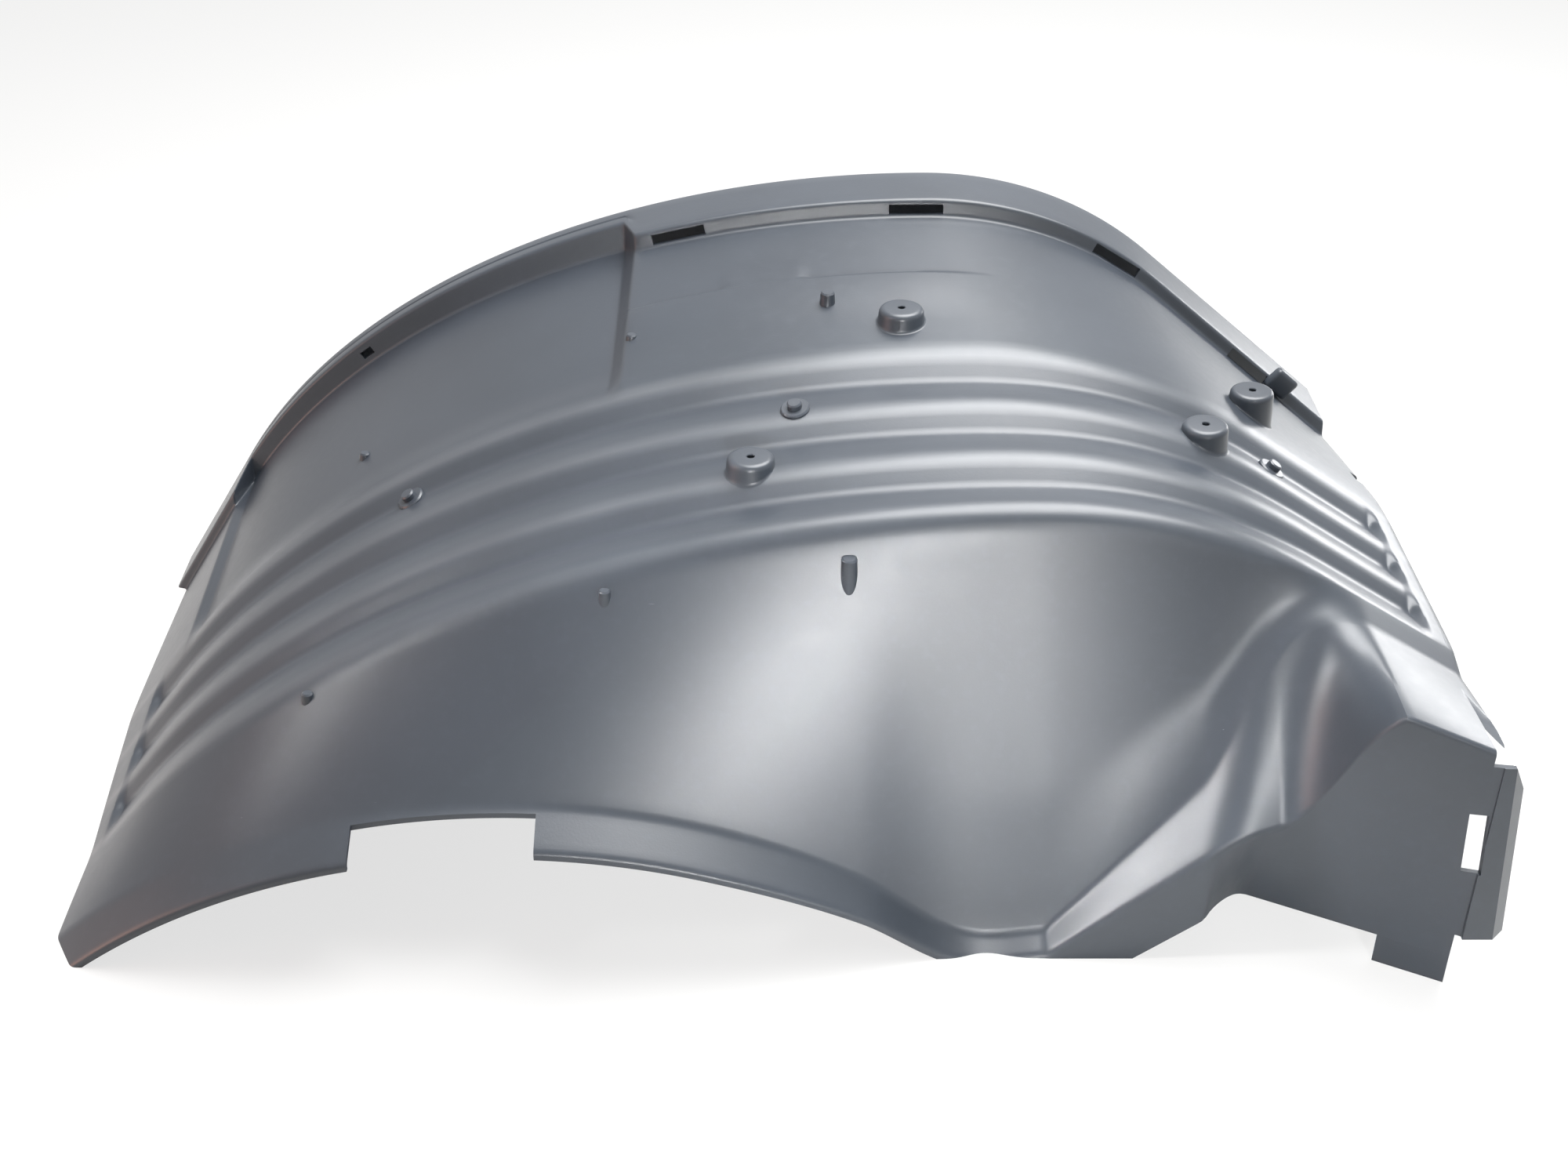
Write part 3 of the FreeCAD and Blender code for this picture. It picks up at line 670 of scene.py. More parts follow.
@dataclass
class EndPanel:
    """Plate, bent flange and hanging tab at the boxed end."""

    head_x: float = 523.0
    toe_x: float = 537.0
    head_z: float = 214.0
    toe_z: float = 50.0
    flange_width: float = 15.0
    flange_bend: float = 45.0
    flange_bevel: float = 26.0
    tab_x: float = 461.0
    tab_width: float = 49.0
    tab_drop: float = 26.0

    def plate(self, corners: Sequence[Point]) -> MeshParts:
        """Plate of the wall's thickness on the corners given, thickened inboard."""
        points = [Vector(corner) for corner in corners]
        normal = (points[1] - points[0]).cross(points[2] - points[0]).normalized()
        normal *= SECTION.wall if normal.y > 0 else -SECTION.wall
        count = len(points)
        sides = [[i, (i + 1) % count, count + (i + 1) % count, count + i] for i in range(count)]
        faces = [list(range(count)), list(range(count, 2 * count))] + sides
        return [tuple(p) for p in points] + [tuple(p + normal) for p in points], faces

    def parts(self) -> list[MeshParts]:
        """The plate, the flange and the tab."""
        front, foot, end = SECTION.box_front_y, SECTION.panel_foot_z, SECTION.rim.end_x
        lap = 2 * SECTION.wall
        panel = [(end - lap, front, self.head_z), (self.head_x, front, self.head_z),
                 (self.toe_x, front, self.toe_z), (end - lap, front, self.toe_z)]
        bend = math.radians(self.flange_bend)
        out_x, out_y = self.flange_width * math.cos(bend), self.flange_width * math.sin(bend)
        taper = self.flange_bevel / (self.head_z - self.toe_z)
        bevel_x = self.head_x + (self.toe_x - self.head_x) * taper + out_x
        bevel_z = self.head_z + (self.toe_z - self.head_z) * taper
        flange = [(self.head_x, front, self.head_z), (bevel_x, front + out_y, bevel_z),
                  (self.toe_x + out_x, front + out_y, self.toe_z), (self.toe_x, front, self.toe_z)]
        tab_ends = (self.tab_x, self.tab_x + self.tab_width)
        ends = [(x, front + SECTION.panel_foot_turn * (end - x)) for x in tab_ends]
        tab = [(x, y, foot - self.tab_drop) for x, y in ends]
        tab += [(x, y, foot + lap) for x, y in reversed(ends)]
        return [self.plate(panel), self.plate(flange), self.plate(tab)]


@dataclass
class CutOuts:
    """Slots, notches and trimmed corners of the moulding."""

    reach: float = 50.0
    clip_places: tuple[float, ...] = (-96.0, 119.0, 304.0, 438.0)
    clip_length: float = 49.0
    clip_height: float = 9.0
    clip_sink: float = 4.5
    rim_slot_x: float = -400.0
    rim_slot_length: float = 13.0
    rim_slot_height: float = 7.0
    slot: Point = (507.5, -56.0, 141.0)
    slot_width: float = 13.0
    slot_height: float = 55.0
    slot_lean: float = 4.0
    notch_x: float = -330.0
    notch_width: float = 142.0
    notch_root_y: float = -5.0
    end_notch_y: float = 384.0
    end_notch_width: float = 22.0
    end_notch_length: float = 16.0
    corner_x: float = 497.0
    corner_y: float = 440.0
    slant: float = 16.0
    slant_y: float = 200.0

    def rim_slot(self, x: float, width: float, length: float, height: float, sink: float) -> MeshParts:
        """Slot through the upright face below the lip, turned to follow the arch."""
        place = np.array([x])
        rim = SECTION.rim
        centre = (x, SECTION.rim_y - width - SECTION.lip_lean / 2, float(rim.height(place)[0]) - sink)
        tilt = -math.degrees(math.atan(rim.slope(place)[0]))
        return turned_box(centre, (length, self.reach, height), tilt)

    def parts(self, panel: EndPanel) -> list[MeshParts]:
        """All the cuts, as closed meshes."""
        end_x, front = SECTION.rim.end_x, SECTION.box_front_y
        sink = SECTION.lip_fall + self.clip_sink + self.clip_height / 2
        cuts = [self.rim_slot(x, SECTION.lip_width, self.clip_length, self.clip_height, sink)
                for x in self.clip_places]
        rim_sink = SECTION.lip_fall + (SECTION.lip_drop + SECTION.recess_depth) / 2
        cuts.append(self.rim_slot(self.rim_slot_x, SECTION.recess_rim_width, self.rim_slot_length,
                                  self.rim_slot_height, rim_sink))
        cuts.append(turned_box(self.slot, (self.slot_width, self.reach, self.slot_height), -self.slot_lean))
        end_z = float(SECTION.crest_first.height(np.array([end_x]))[0])
        cuts.append(turned_box((end_x, self.end_notch_y, end_z),
                               (self.end_notch_length, self.end_notch_width, self.reach)))
        left, right, root = self.notch_x, self.notch_x + self.notch_width, self.notch_root_y
        notch = [(left, -FAR), (right, -FAR), (right, root), (left, root)]
        cuts.append(prism(notch, -1.0, SECTION.edge_crown_z))
        cuts.append(prism([(self.corner_x, FAR), (end_x, self.corner_y), (FAR, self.corner_y), (FAR, FAR)],
                          0.0, FAR))
        tab_end = panel.tab_x + panel.tab_width
        cuts.append(prism([(tab_end, -FAR), (FAR, -FAR), (FAR, 0.0), (tab_end, 0.0)], -1.0, panel.toe_z))
        lap = 2 * SECTION.wall
        cuts.append(prism([(end_x, self.slant_y), (FAR, self.slant_y), (FAR, front - lap),
                           (end_x - self.slant, front - lap)], panel.head_z, FAR))
        return cuts


@dataclass(frozen=True)
class PanelRelief:
    """Shallow forms: a ledge along the panel, a raised pad above it, and a groove in the rim."""

    ledge_y: float = 415.0
    ledge_rise: float = 2.2
    ledge_start_x: float = -130.0
    ledge_end_x: float = 190.0
    ledge_run_in: float = 20.0
    ledge_run_out: float = 90.0
    ledge_low_y: float = 345.0
    ledge_flat_y: float = 400.0
    pad_left_x: float = -52.0
    pad_right_x: float = 16.0
    pad_high_y: float = 438.0
    pad_rise: float = 1.6
    soft: float = 2.0
    rim_groove: float = 1.8
    groove_share: float = 0.06

    def panel(self, x: Array, y: Array) -> Array:
        """Rise of the panel's skin.

        Args:
            x: Places along the arch.
            y: Places across it.

        Returns:
            The rise at each pair of places.
        """
        soft = self.soft
        start, end = self.ledge_start_x, self.ledge_end_x
        along = climb(x, start - self.ledge_run_in, start) * (1 - climb(x, end - self.ledge_run_out, end))
        above = climb(y, self.ledge_y - soft, self.ledge_y + soft)
        ledge = self.ledge_rise * (1 - above) * climb(y, self.ledge_low_y, self.ledge_flat_y)
        sides = climb(x, self.pad_left_x - soft, self.pad_left_x + soft)
        sides = sides * (1 - climb(x, self.pad_right_x - soft, self.pad_right_x + soft))
        ends = above * (1 - climb(y, self.pad_high_y - soft, self.pad_high_y + soft))
        return along * ledge + self.pad_rise * sides * ends


@dataclass
class FenderSkin:
    """The whole shell with its end panel and cut-outs, as one closed mesh."""

    grid: SkinGrid = field(default_factory=SkinGrid)
    relief: PanelRelief = field(default_factory=PanelRelief)
    panel: EndPanel = field(default_factory=EndPanel)
    cuts: CutOuts = field(default_factory=CutOuts)
    left_x: float = -640.0
    core_margin: float = 1.0
    lead: float = 1.5
    # Widths of the mask that paints rib crests and rim lighter: rubbed wear and painted sheen.
    crest_wear_and_sheen: float = 7.0
    rim_wear_and_sheen: float = 5.0

    def stations(self) -> Array:
        """Places along the arch at which the skin has a section."""
        s, g = SECTION, self.grid
        lead = self.lead
        stops = [
            (self.left_x, g.wide),
            (s.groove_start_x - lead, g.fine), (s.groove_start_x + s.groove_end_run + lead, g.close),
            (s.recess_start_x - lead, g.fine), (s.recess_start_x + s.step_run + lead, g.wide),
            (s.step_x - s.step_run - lead, g.fine), (s.step_x + lead, g.wide),
            (s.shelf_start_x, g.close), (s.box_start_x, g.fine), (s.nose_toe_x, g.close / 2),
            (s.nose_corner_x, g.close / 2), (s.box_full_x, g.close),
            (s.groove_end_x - s.groove_end_run - lead, g.fine), (s.groove_end_x + lead, g.close),
            (s.rim.end_x - s.edge_round, g.fine), (s.rim.end_x, g.fine),
        ]
        places = []
        for (start, spacing), (end, _) in zip(stops, stops[1:]):
            count = max(1, round((end - start) / spacing))
            places += [start + (end - start) * i / count for i in range(count)]
        return np.array(places + [s.rim.end_x])

    def sections(self, x: Array) -> tuple[Array, Array]:
        """Outer and inner paths at each place, each as an array of place, point and (y, z)."""
        points, setbacks = SECTION.corners(x)
        runs = self.grid.runs()
        outer = SECTION.rounded(points, setbacks, runs)
        inner = SECTION.rounded(SECTION.inner(x, points), setbacks, runs)
        rim = self.grid.side_points(self.grid.rim_side, SECTION.arc_steps)
        across = np.exp(-((runs[self.grid.rim_side] - 0.5) / self.relief.groove_share) ** 2)
        outer[:, rim, 1] -= self.relief.rim_groove * SECTION.recess(x)[:, None] * across
        panel = self.grid.side_points(self.grid.panel_side, SECTION.arc_steps)
        outer[:, panel, 1] += self.relief.panel(x[:, None], outer[:, panel, 0])
        outer[0], inner[0] = self.eased_end(outer[0], inner[0])
        outer[-1], inner[-1] = self.eased_end(outer[-1], inner[-1])
        return outer, inner

    def eased_end(self, outer: Array, inner: Array) -> tuple[Array, Array]:
        """End section drawn in from both skins, so that the end of the wall has eased edges."""
        toward = (inner - outer) * SECTION.edge_round / SECTION.wall
        return outer + toward, inner - toward

    def loops(self, outer: Array, inner: Array) -> Array:
        """Closed loop round the wall at each place, with its two free edges eased."""
        share = SECTION.edge_round / SECTION.wall
        edges = []
        for end, step in ((-1, -2), (0, 1)):
            pulled = []
            for path in (outer, inner):
                back = path[:, step] - path[:, end]
                length = np.linalg.norm(back, axis=-1)[:, None]
                pulled.append(path[:, end] + back * np.minimum(SECTION.edge_round / length, 0.4))
            edge_a = outer[:, end] + (inner[:, end] - outer[:, end]) * share
            edge_b = inner[:, end] + (outer[:, end] - inner[:, end]) * share
            outer[:, end], inner[:, end] = pulled
            edges.append((edge_a, edge_b))
        (low_a, low_b), (top_a, top_b) = edges
        return np.concatenate([outer, low_a[:, None], low_b[:, None], inner[:, ::-1],
                               top_b[:, None], top_a[:, None]], axis=1)

    def build(self) -> bpy.types.Object:
        """Make the shell.

        Returns:
            The finished mesh object.
        """
        x = self.stations()
        outer, inner = self.sections(x)
        half = outer.shape[1]
        loops = self.loops(outer, inner)
        count = loops.shape[1]
        points = [(place, y, z) for place, loop in zip(x, loops) for y, z in loop]
        faces = []
        for row in range(len(x) - 1):
            a, b = row * count, (row + 1) * count
            faces += [[a + k, a + (k + 1) % count, b + (k + 1) % count, b + k] for k in range(count)]
        for base in (0, (len(x) - 1) * count):
            pairs = [(k, 2 * half + 1 - k) for k in range(half)]
            pairs = [(count - 1, count - 2)] + pairs + [(half, half + 1)]
            for p, q in zip(pairs, pairs[1:]):
                faces.append([base + p[0], base + q[0], base + q[1], base + p[1]])
        shell = make_object("fender_skin", points, faces)
        self.trim_floor(shell)
        for part in self.panel.parts():
            combine(shell, make_object("plate", *part), "UNION")
        cores = [self.core(boss) for boss in BOSSES]
        combine(shell, make_object("cuts", *gather(self.cuts.parts(self.panel) + cores)), "DIFFERENCE")
        self.weigh_wear_and_sheen(shell)
        shade(shell)
        return shell

    def core(self, boss: ScrewBoss) -> MeshParts:
        """Plug that opens the skin under a boss."""
        low, high = boss.top - boss.rise - boss.root, boss.top + FAR / 20
        radius = boss.radius(boss.top - boss.rise) - boss.wall + self.core_margin
        ring = [2 * math.pi * i / boss.around for i in range(boss.around)]
        outline = [(boss.x + radius * math.cos(a), boss.y + radius * math.sin(a)) for a in ring]
        return prism(outline, low - FAR / 20, high)

    def trim_floor(self, shell: bpy.types.Object) -> None:
        """Cut off what lies below the floor, and close the cut."""
        bm = bmesh.new()
        bm.from_mesh(shell.data)
        cut = bmesh.ops.bisect_plane(bm, geom=bm.verts[:] + bm.edges[:] + bm.faces[:], dist=1e-7,
                                     plane_co=(0, 0, 0), plane_no=(0, 0, 1), clear_inner=True)
        rim = [item for item in cut["geom_cut"] if isinstance(item, bmesh.types.BMEdge)]
        bmesh.ops.edgenet_fill(bm, edges=rim)
        bmesh.ops.recalc_face_normals(bm, faces=bm.faces)
        bm.to_mesh(shell.data)
        bm.free()

    def weigh_wear_and_sheen(self, shell: bpy.types.Object) -> None:
        """Store a mask of lighter colour, most on the rib crests and along the rim: rubbed wear and painted
        sheen.
        """
        mesh = shell.data
        co = np.zeros(len(mesh.vertices) * 3)
        mesh.vertices.foreach_get("co", co)
        co = co.reshape(-1, 3) / MM - SHIFT
        # Lighter on rib crests and rim top: rubbed wear and painted sheen.
        wear_and_sheen = np.zeros(len(co))
        for crest_y in SECTION.crest_places():
            near = np.exp(-((co[:, 1] - crest_y) / self.crest_wear_and_sheen) ** 2)
            over = SECTION.crest_height(co[:, 0], co[:, 1]) - co[:, 2]
            wear_and_sheen = np.maximum(wear_and_sheen, near * np.exp(-(np.maximum(over, 0.0) / self.rim_wear_and_sheen) ** 2))
        beside = (co[:, 1] - SECTION.rim_y) / self.rim_wear_and_sheen
        below = (co[:, 2] - SECTION.rim.height(co[:, 0])) / self.rim_wear_and_sheen
        rim = np.exp(-beside ** 2) * np.exp(-below ** 2)
        layer = mesh.attributes.new("rubbed_and_sheen", "FLOAT", "POINT")
        layer.data.foreach_set("value", np.maximum(wear_and_sheen, rim).astype(np.float32))


@dataclass(frozen=True)
class MouldedPolypropylene:
    """Black-grey polypropylene, injection moulded against a spark-eroded tool.

    The tool leaves a fine even grain, so light spreads into a broad satin sheen. Handling leaves pale hair
    scratches and a little dust haze. The rib crests and the rim top are painted lighter: rubbed wear and
    painted sheen.
    """

    name: str = "moulded_polypropylene"
    base: str = "#31363d"
    pale: str = "#3d434b"
    # Lighter colour for rib crests and rim top: rubbed wear and painted sheen.
    rubbed_and_sheen: str = "#6f7276"
    scratch: str = "#a3a4a6"
    ior: float = 1.49
    roughness: float = 0.38
    roughness_spread: float = 0.03
    # The real grain is about 0.3 mm wide; it is drawn coarser so that it shows in the render.
    grain_mm: float = 1.6
    grain_depth_mm: float = 0.07
    grain_strength: float = 0.6
    flow_mm: float = 160.0
    haze_mm: float = 9.0
    scratch_mm: float = 2.2
    scratch_stretch: float = 45.0
    scratch_tilt: tuple[float, float] = (0.3, 0.2)
    scratch_angles: tuple[float, float] = (0.4, -0.9)

    def build(self) -> bpy.types.Material:
        """Make the material.

        Returns:
            The material with its nodes.
        """
        material = bpy.data.materials.new(self.name)
        material.use_nodes = True
        tree = material.node_tree
        tree.nodes.clear()
        place = add_node(tree, "ShaderNodeTexCoord").outputs["Object"]
        vectors = {"grain": place, "flow": place, "haze": place}
        sizes = {"grain": (self.grain_mm, 2.0), "flow": (self.flow_mm, 3.0), "haze": (self.haze_mm, 5.0)}
        strokes = [f"stroke_{angle}" for angle in self.scratch_angles]
        for stroke, angle in zip(strokes, self.scratch_angles):
            vectors[stroke] = add_node(tree, "ShaderNodeMapping", {}, {
                "Vector": place, "Rotation": (*self.scratch_tilt, angle),
                "Scale": (1.0 / self.scratch_stretch, 1.0, 1.0)}).outputs["Vector"]
            sizes[stroke] = (self.scratch_mm, 1.0)
        noise = {}
        for key, (size_mm, detail) in sizes.items():
            noise[key] = add_node(tree, "ShaderNodeTexNoise", {}, {
                "Vector": vectors[key], "Scale": 1.0 / MM / size_mm, "Detail": detail}).outputs["Fac"]
        noise["scratch"] = add_node(tree, "ShaderNodeMath", {"operation": "MAXIMUM"}, {
            0: noise[strokes[0]], 1: noise[strokes[1]]}).outputs[0]
        half = self.roughness_spread / 2
        ranges = {
            "flow_tint": ("flow", 0.3, 0.7, 0.0, 0.45),
            "haze_tint": ("haze", 0.52, 0.8, 0.0, 0.3),
            # Random strength of the lighter crest and rim colour: rubbed wear and painted sheen.
            "wear_and_sheen": ("flow", 0.3, 0.7, 0.25, 0.5),
            "scratches": ("scratch", 0.84, 0.88, 0.0, 0.45),
            "rough": ("haze", 0.3, 0.7, self.roughness - half, self.roughness + half),
        }
        share = {}
        for key, (source, low, high, to_low, to_high) in ranges.items():
            share[key] = add_node(tree, "ShaderNodeMapRange", {}, {
                "Value": noise[source], "From Min": low, "From Max": high,
                "To Min": to_low, "To Max": to_high}).outputs["Result"]
        # Rib crests and rim top painted lighter: rubbed wear and painted sheen.
        rubbed_and_sheen = add_node(tree, "ShaderNodeAttribute", {"attribute_name": "rubbed_and_sheen"}).outputs["Fac"]
        worn_and_sheen = add_node(tree, "ShaderNodeMath", {"operation": "MULTIPLY"}, {0: rubbed_and_sheen, 1: share["wear_and_sheen"]})
        layers = ((share["flow_tint"], self.pale), (share["haze_tint"], self.pale),
                  (worn_and_sheen.outputs[0], self.rubbed_and_sheen), (share["scratches"], self.scratch))
        colour: Any = srgb(self.base)
        for factor, over in layers:
            colour = add_node(tree, "ShaderNodeMix", {"data_type": "RGBA"}, {
                0: factor, 6: colour, 7: srgb(over)}).outputs[2]
        bump = add_node(tree, "ShaderNodeBump", {}, {
            "Height": noise["grain"], "Strength": self.grain_strength,
            "Distance": self.grain_depth_mm * MM}).outputs["Normal"]
        shader = add_node(tree, "ShaderNodeBsdfPrincipled", {}, {
            "Base Color": colour, "Roughness": share["rough"], "IOR": self.ior, "Normal": bump})
        add_node(tree, "ShaderNodeOutputMaterial", {}, {"Surface": shader.outputs[0]})
        return material


@dataclass(frozen=True)
class LipHook:
    """Rounded block that stands at the end of the raised lip."""

    x: float = 470.0
    y: float = 506.0
    length: float = 26.0
    width: float = 12.0
    rise: float = 12.0
    root: float = 10.0
    round: float = 4.0

    def build(self) -> bpy.types.Object:
        """Make the block, turned to follow the arch."""
        place = np.array([self.x])
        tilt = -math.degrees(math.atan(float(SECTION.rim.slope(place)[0])))
        turn = Matrix.Rotation(math.radians(tilt), 3, "Y")
        centre = Vector((self.x, self.y, float(SECTION.rim.height(place)[0])))
        centre += turn @ Vector((0.0, 0.0, (self.rise - self.root) / 2))
        sides = (self.length, self.width, self.rise + self.root)
        obj = make_object("lip_hook", *turned_box(tuple(centre), sides, tilt))
        bevel = obj.modifiers.new("eased", "BEVEL")
        bevel.width = self.round * MM
        bevel.segments = 4
        apply_modifiers(obj)
        shade(obj)
        return obj


@dataclass
class PinField:
    """Small moulded pins that stand on the skin, spread by Geometry Nodes."""

    name: str
    places: tuple[tuple[float, float], ...]
    foot_radius: float
    top_radius: float
    rise: float
    upright: bool
    chamfer: float = 1.2
    around: int = 28

    def tree(self) -> bpy.types.NodeTree:
        """Node tree that puts a chamfered pin at each point.

        Returns:
            The tree, with named inputs for the pin's sizes.
        """
        tree = bpy.data.node_groups.new(self.name + "_nodes", "GeometryNodeTree")
        tree.interface.new_socket("Geometry", in_out="INPUT", socket_type="NodeSocketGeometry")
        for label in ("Foot Radius", "Top Radius", "Chamfer"):
            tree.interface.new_socket(label, in_out="INPUT", socket_type="NodeSocketFloat")
        tree.interface.new_socket("Finish", in_out="INPUT", socket_type="NodeSocketMaterial")
        tree.interface.new_socket("Geometry", in_out="OUTPUT", socket_type="NodeSocketGeometry")
        given = add_node(tree, "NodeGroupInput").outputs
        inset = add_node(tree, "ShaderNodeMath", {"operation": "SUBTRACT"}, {
            0: given["Top Radius"], 1: given["Chamfer"]}).outputs[0]
        stem = add_node(tree, "GeometryNodeMeshCone", {}, {
            "Vertices": self.around, "Side Segments": 4, "Radius Bottom": given["Foot Radius"],
            "Radius Top": given["Top Radius"], "Depth": 1.0}).outputs["Mesh"]
        cap = add_node(tree, "GeometryNodeMeshCone", {}, {
            "Vertices": self.around, "Radius Bottom": given["Top Radius"], "Radius Top": inset,
            "Depth": given["Chamfer"]}).outputs["Mesh"]
        tall, lean = [add_node(tree, "GeometryNodeInputNamedAttribute", {"data_type": kind}, {
            "Name": name}).outputs[0] for name, kind in (("tall", "FLOAT"), ("lean", "FLOAT_VECTOR"))]
        turn = add_node(tree, "FunctionNodeAlignRotationToVector", {"axis": "Z"}, {
            "Vector": lean}).outputs[0]
        stretch = add_node(tree, "ShaderNodeCombineXYZ", {}, {"X": 1.0, "Y": 1.0, "Z": tall}).outputs[0]
        lift = add_node(tree, "ShaderNodeCombineXYZ", {}, {"Z": tall}).outputs[0]
        stems = add_node(tree, "GeometryNodeInstanceOnPoints", {}, {
            "Points": given["Geometry"], "Instance": stem, "Rotation": turn, "Scale": stretch}).outputs[0]
        caps = add_node(tree, "GeometryNodeInstanceOnPoints", {}, {
            "Points": given["Geometry"], "Instance": cap, "Rotation": turn}).outputs[0]
        caps = add_node(tree, "GeometryNodeTranslateInstances", {}, {
            "Instances": caps, "Translation": lift, "Local Space": True}).outputs[0]
        pins = add_node(tree, "GeometryNodeJoinGeometry")
        for part in (stems, caps):
            tree.links.new(part, pins.inputs[0])
        real = add_node(tree, "GeometryNodeRealizeInstances", {}, {"Geometry": pins.outputs[0]})
        dressed = add_node(tree, "GeometryNodeSetMaterial", {}, {
            "Geometry": real.outputs[0], "Material": given["Finish"]})
        add_node(tree, "NodeGroupOutput", {}, {0: dressed.outputs[0]})
        return tree

    def build(self, finish: bpy.types.Material) -> bpy.types.Object:
        """Make the pins.

        Args:
            finish: Material of the pins.

        Returns:
            One plain mesh object with all the pins.
        """
        points, leans, heights = [], [], []
        for x, y in self.places:
            normal = Vector((0, 0, 1)) if self.upright else SECTION.skin_normal(x, y)
            slope = abs(SECTION.skin_height(x, y + 1.0) - SECTION.skin_height(x, y - 1.0)) / 2
            root = SECTION.wall / 4 + self.foot_radius * slope
            points.append(tuple(Vector((x, y, SECTION.skin_height(x, y))) - normal * root))
            leans.append(normal)
            heights.append((self.rise + root - self.chamfer) * MM)
        obj = make_object(self.name, points, [])
        lean = obj.data.attributes.new("lean", "FLOAT_VECTOR", "POINT")
        lean.data.foreach_set("vector", [part for normal in leans for part in normal])
        tall = obj.data.attributes.new("tall", "FLOAT", "POINT")
        tall.data.foreach_set("value", heights)
        modifier = obj.modifiers.new(self.name, "NODES")
        modifier.node_group = self.tree()
        values = {"Foot Radius": self.foot_radius * MM, "Top Radius": self.top_radius * MM,
                  "Chamfer": self.chamfer * MM, "Finish": finish}
        for item in modifier.node_group.interface.items_tree:
            if item.item_type == "SOCKET" and item.in_out == "INPUT" and item.name in values:
                modifier[item.identifier] = values[item.name]
        apply_modifiers(obj)
        shade(obj)
        return obj


@dataclass(frozen=True)
class PhotoCamera:
    """Camera at the photograph's viewing angle."""

    place: Point = (0.0, -1157.0, 1083.0)
    pitch: float = 33.0
    focal_px: float = 2500.0
    image_width: float = 2000.0
    sensor: float = 36.0

    def build(self) -> None:
        """Make the camera and let the scene use it."""
        data = bpy.data.cameras.new("photo_camera")
        data.sensor_width = self.sensor
        data.lens = self.focal_px / self.image_width * self.sensor
        obj = bpy.data.objects.new("photo_camera", data)
        obj.location = to_row([self.place])[0]
        obj.rotation_euler = (math.radians(90.0 - self.pitch), 0.0, 0.0)
        bpy.context.scene.collection.objects.link(obj)
        bpy.context.scene.camera = obj


@dataclass(frozen=True)
class SoftLamp:
    """A soft box, aimed at a point."""

    name: str
    place: Point
    aim: Point
    width: float
    height: float
    power: float
    colour: str = "#ffffff"
    spread_deg: float = 180.0

    def build(self) -> None:
        """Hang the lamp."""
        data = bpy.data.lights.new(self.name, "AREA")
        data.shape = "RECTANGLE"
        data.size, data.size_y = self.width, self.height
        data.energy = self.power
        data.spread = math.radians(self.spread_deg)
        data.color = srgb(self.colour)[:3]
        obj = bpy.data.objects.new(self.name, data)
        obj.location = self.place
        obj.rotation_euler = (Vector(self.aim) - Vector(self.place)).to_track_quat("-Z", "Y").to_euler()
        bpy.context.scene.collection.objects.link(obj)


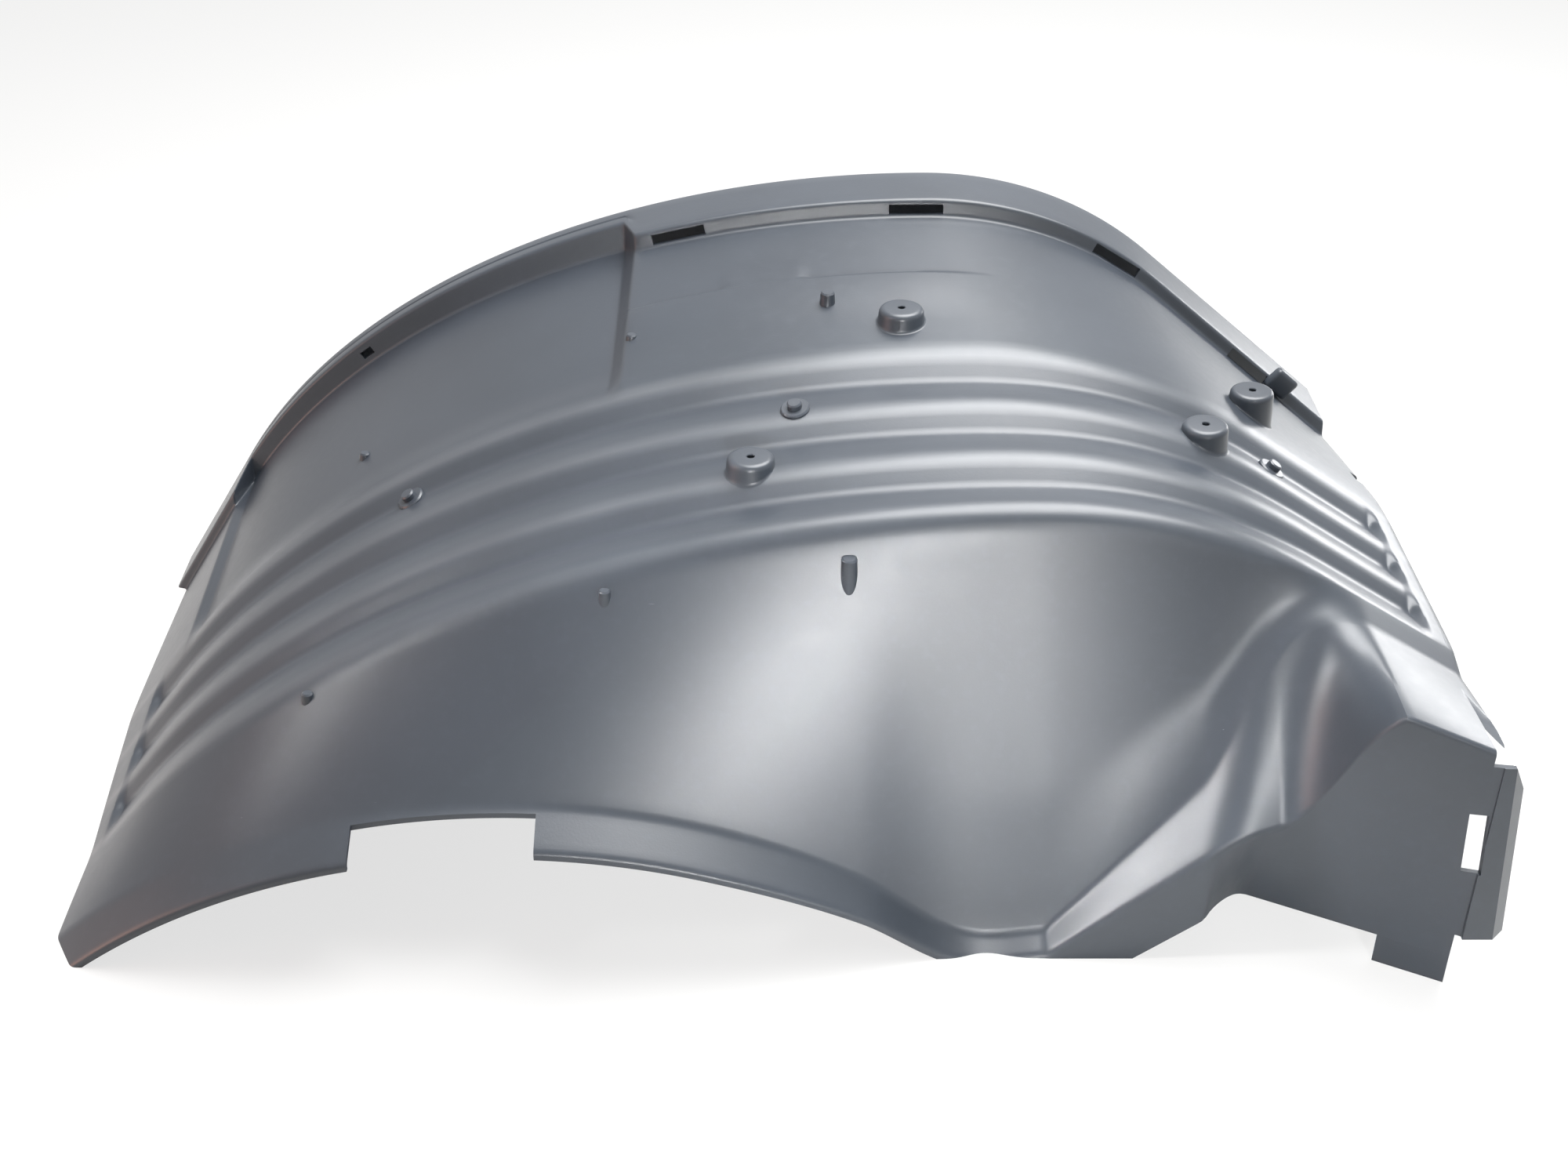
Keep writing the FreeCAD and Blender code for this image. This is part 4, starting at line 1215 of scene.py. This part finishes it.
@dataclass
class Studio:
    """Plain pale floor, white surround and soft lamps."""

    floor_half: float = 9.0
    floor_colour: str = "#dcdcda"
    floor_glow: float = 0.72
    surround_light: float = 0.3
    lamps: tuple[SoftLamp, ...] = (
        SoftLamp("overhead", (0.52, 0.55, 2.3), (0.12, 0.0, 0.3), 1.5, 2.0, 145.0),
        SoftLamp("window", (1.9, 1.6, 0.42), (0.45, -0.25, 0.25), 0.8, 0.5, 0.55, spread_deg=30.0),
        SoftLamp("front", (0.2, -2.6, 0.55), (0.06, -0.21, 0.2), 0.4, 0.5, 0.85, spread_deg=12.0),
        SoftLamp("front_high", (0.7, -2.4, 1.4), (0.46, -0.3, 0.15), 0.45, 0.45, 0.5, spread_deg=12.0),
        SoftLamp("left", (-2.2, -0.5, 1.5), (0.32, -0.27, 0.1), 0.35, 0.35, 0.52, spread_deg=12.0),
        SoftLamp("left_glow", (-2.2, -0.6, 0.5), (-0.4, 0.0, 0.2), 0.9, 0.9, 14.0, "#ffc0a8"),
    )

    def build(self) -> None:
        """Lay the floor, light the scene and set the view transform."""
        half = self.floor_half
        mesh = bpy.data.meshes.new("floor")
        corners = [(-half, -half, 0), (half, -half, 0), (half, half, 0), (-half, half, 0)]
        mesh.from_pydata(corners, [], [[0, 1, 2, 3]])
        floor = bpy.data.objects.new("floor", mesh)
        bpy.context.scene.collection.objects.link(floor)
        mesh.materials.append(self.floor_material())
        for lamp in self.lamps:
            lamp.build()
        self.surround()
        bpy.context.scene.view_settings.view_transform = "Standard"

    def floor_material(self) -> bpy.types.Material:
        """Matt pale floor, brightened for the camera so that it meets the white surround."""
        material = bpy.data.materials.new("pale_floor")
        material.use_nodes = True
        tree = material.node_tree
        tree.nodes.clear()
        seen = add_node(tree, "ShaderNodeLightPath").outputs["Is Camera Ray"]
        share = add_node(tree, "ShaderNodeMath", {"operation": "MULTIPLY"}, {
            0: seen, 1: self.floor_glow}).outputs[0]
        matt = add_node(tree, "ShaderNodeBsdfDiffuse", {}, {"Color": srgb(self.floor_colour)})
        white = add_node(tree, "ShaderNodeEmission", {}, {"Color": (1, 1, 1, 1), "Strength": 1.0})
        mix = add_node(tree, "ShaderNodeMixShader", {}, {0: share, 1: matt.outputs[0], 2: white.outputs[0]})
        add_node(tree, "ShaderNodeOutputMaterial", {}, {"Surface": mix.outputs[0]})
        return material

    def surround(self) -> None:
        """White surround for the camera and reflections, and a softer light on the object."""
        world = bpy.data.worlds.new("surround")
        bpy.context.scene.world = world
        world.use_nodes = True
        tree = world.node_tree
        tree.nodes.clear()
        path = add_node(tree, "ShaderNodeLightPath").outputs
        seen = path["Is Camera Ray"]
        for ray in ("Is Glossy Ray", "Is Transmission Ray"):
            seen = add_node(tree, "ShaderNodeMath", {"operation": "MAXIMUM"}, {
                0: seen, 1: path[ray]}).outputs[0]
        strength = add_node(tree, "ShaderNodeMapRange", {}, {
            "Value": seen, "To Min": self.surround_light, "To Max": 1.0}).outputs["Result"]
        sky = add_node(tree, "ShaderNodeBackground", {}, {"Color": (1, 1, 1, 1), "Strength": strength})
        add_node(tree, "ShaderNodeOutputWorld", {}, {"Surface": sky.outputs[0]})


def dress(obj: bpy.types.Object, finish: bpy.types.Material) -> None:
    """Give a piece its finish and let it ride on the part's body."""
    obj.data.materials.clear()
    obj.data.materials.append(finish)
    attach(obj, BODY)
    LOG.info("%s: %d faces", obj.name, len(obj.data.polygons))


def main() -> None:
    """Build the fender, the studio and the camera."""
    logging.basicConfig(level=logging.INFO, format="%(name)s %(message)s")
    finish = MouldedPolypropylene().build()
    skin = FenderSkin().build()
    dress(skin, finish)
    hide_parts(NODE)
    bosses = make_object("screw_bosses", *gather(boss.mesh_rows() for boss in BOSSES))
    shade(bosses)
    dress(bosses, finish)
    gates = ((9.0, 237.0), (-314.0, 270.0), (402.0, 255.0))
    nubs = ((-136.0, 87.0), (-373.0, 84.0), (-375.0, 379.0), (-131.0, 372.0))
    fields = (
        PinField("locating_pegs", ((37.0, 374.0), (49.0, 86.0)), 7.0, 6.0, 11.0, True),
        PinField("small_nubs", nubs, 5.5, 4.5, 4.0, True),
        PinField("gate_pads", gates, 12.0, 12.0, 3.0, False),
        PinField("gate_stubs", gates, 6.0, 6.0, 8.0, False),
    )
    for pins in fields:
        dress(pins.build(finish), finish)
    dress(LipHook().build(), finish)
    PhotoCamera().build()
    Studio().build()


if __name__ == "__main__":
    main()
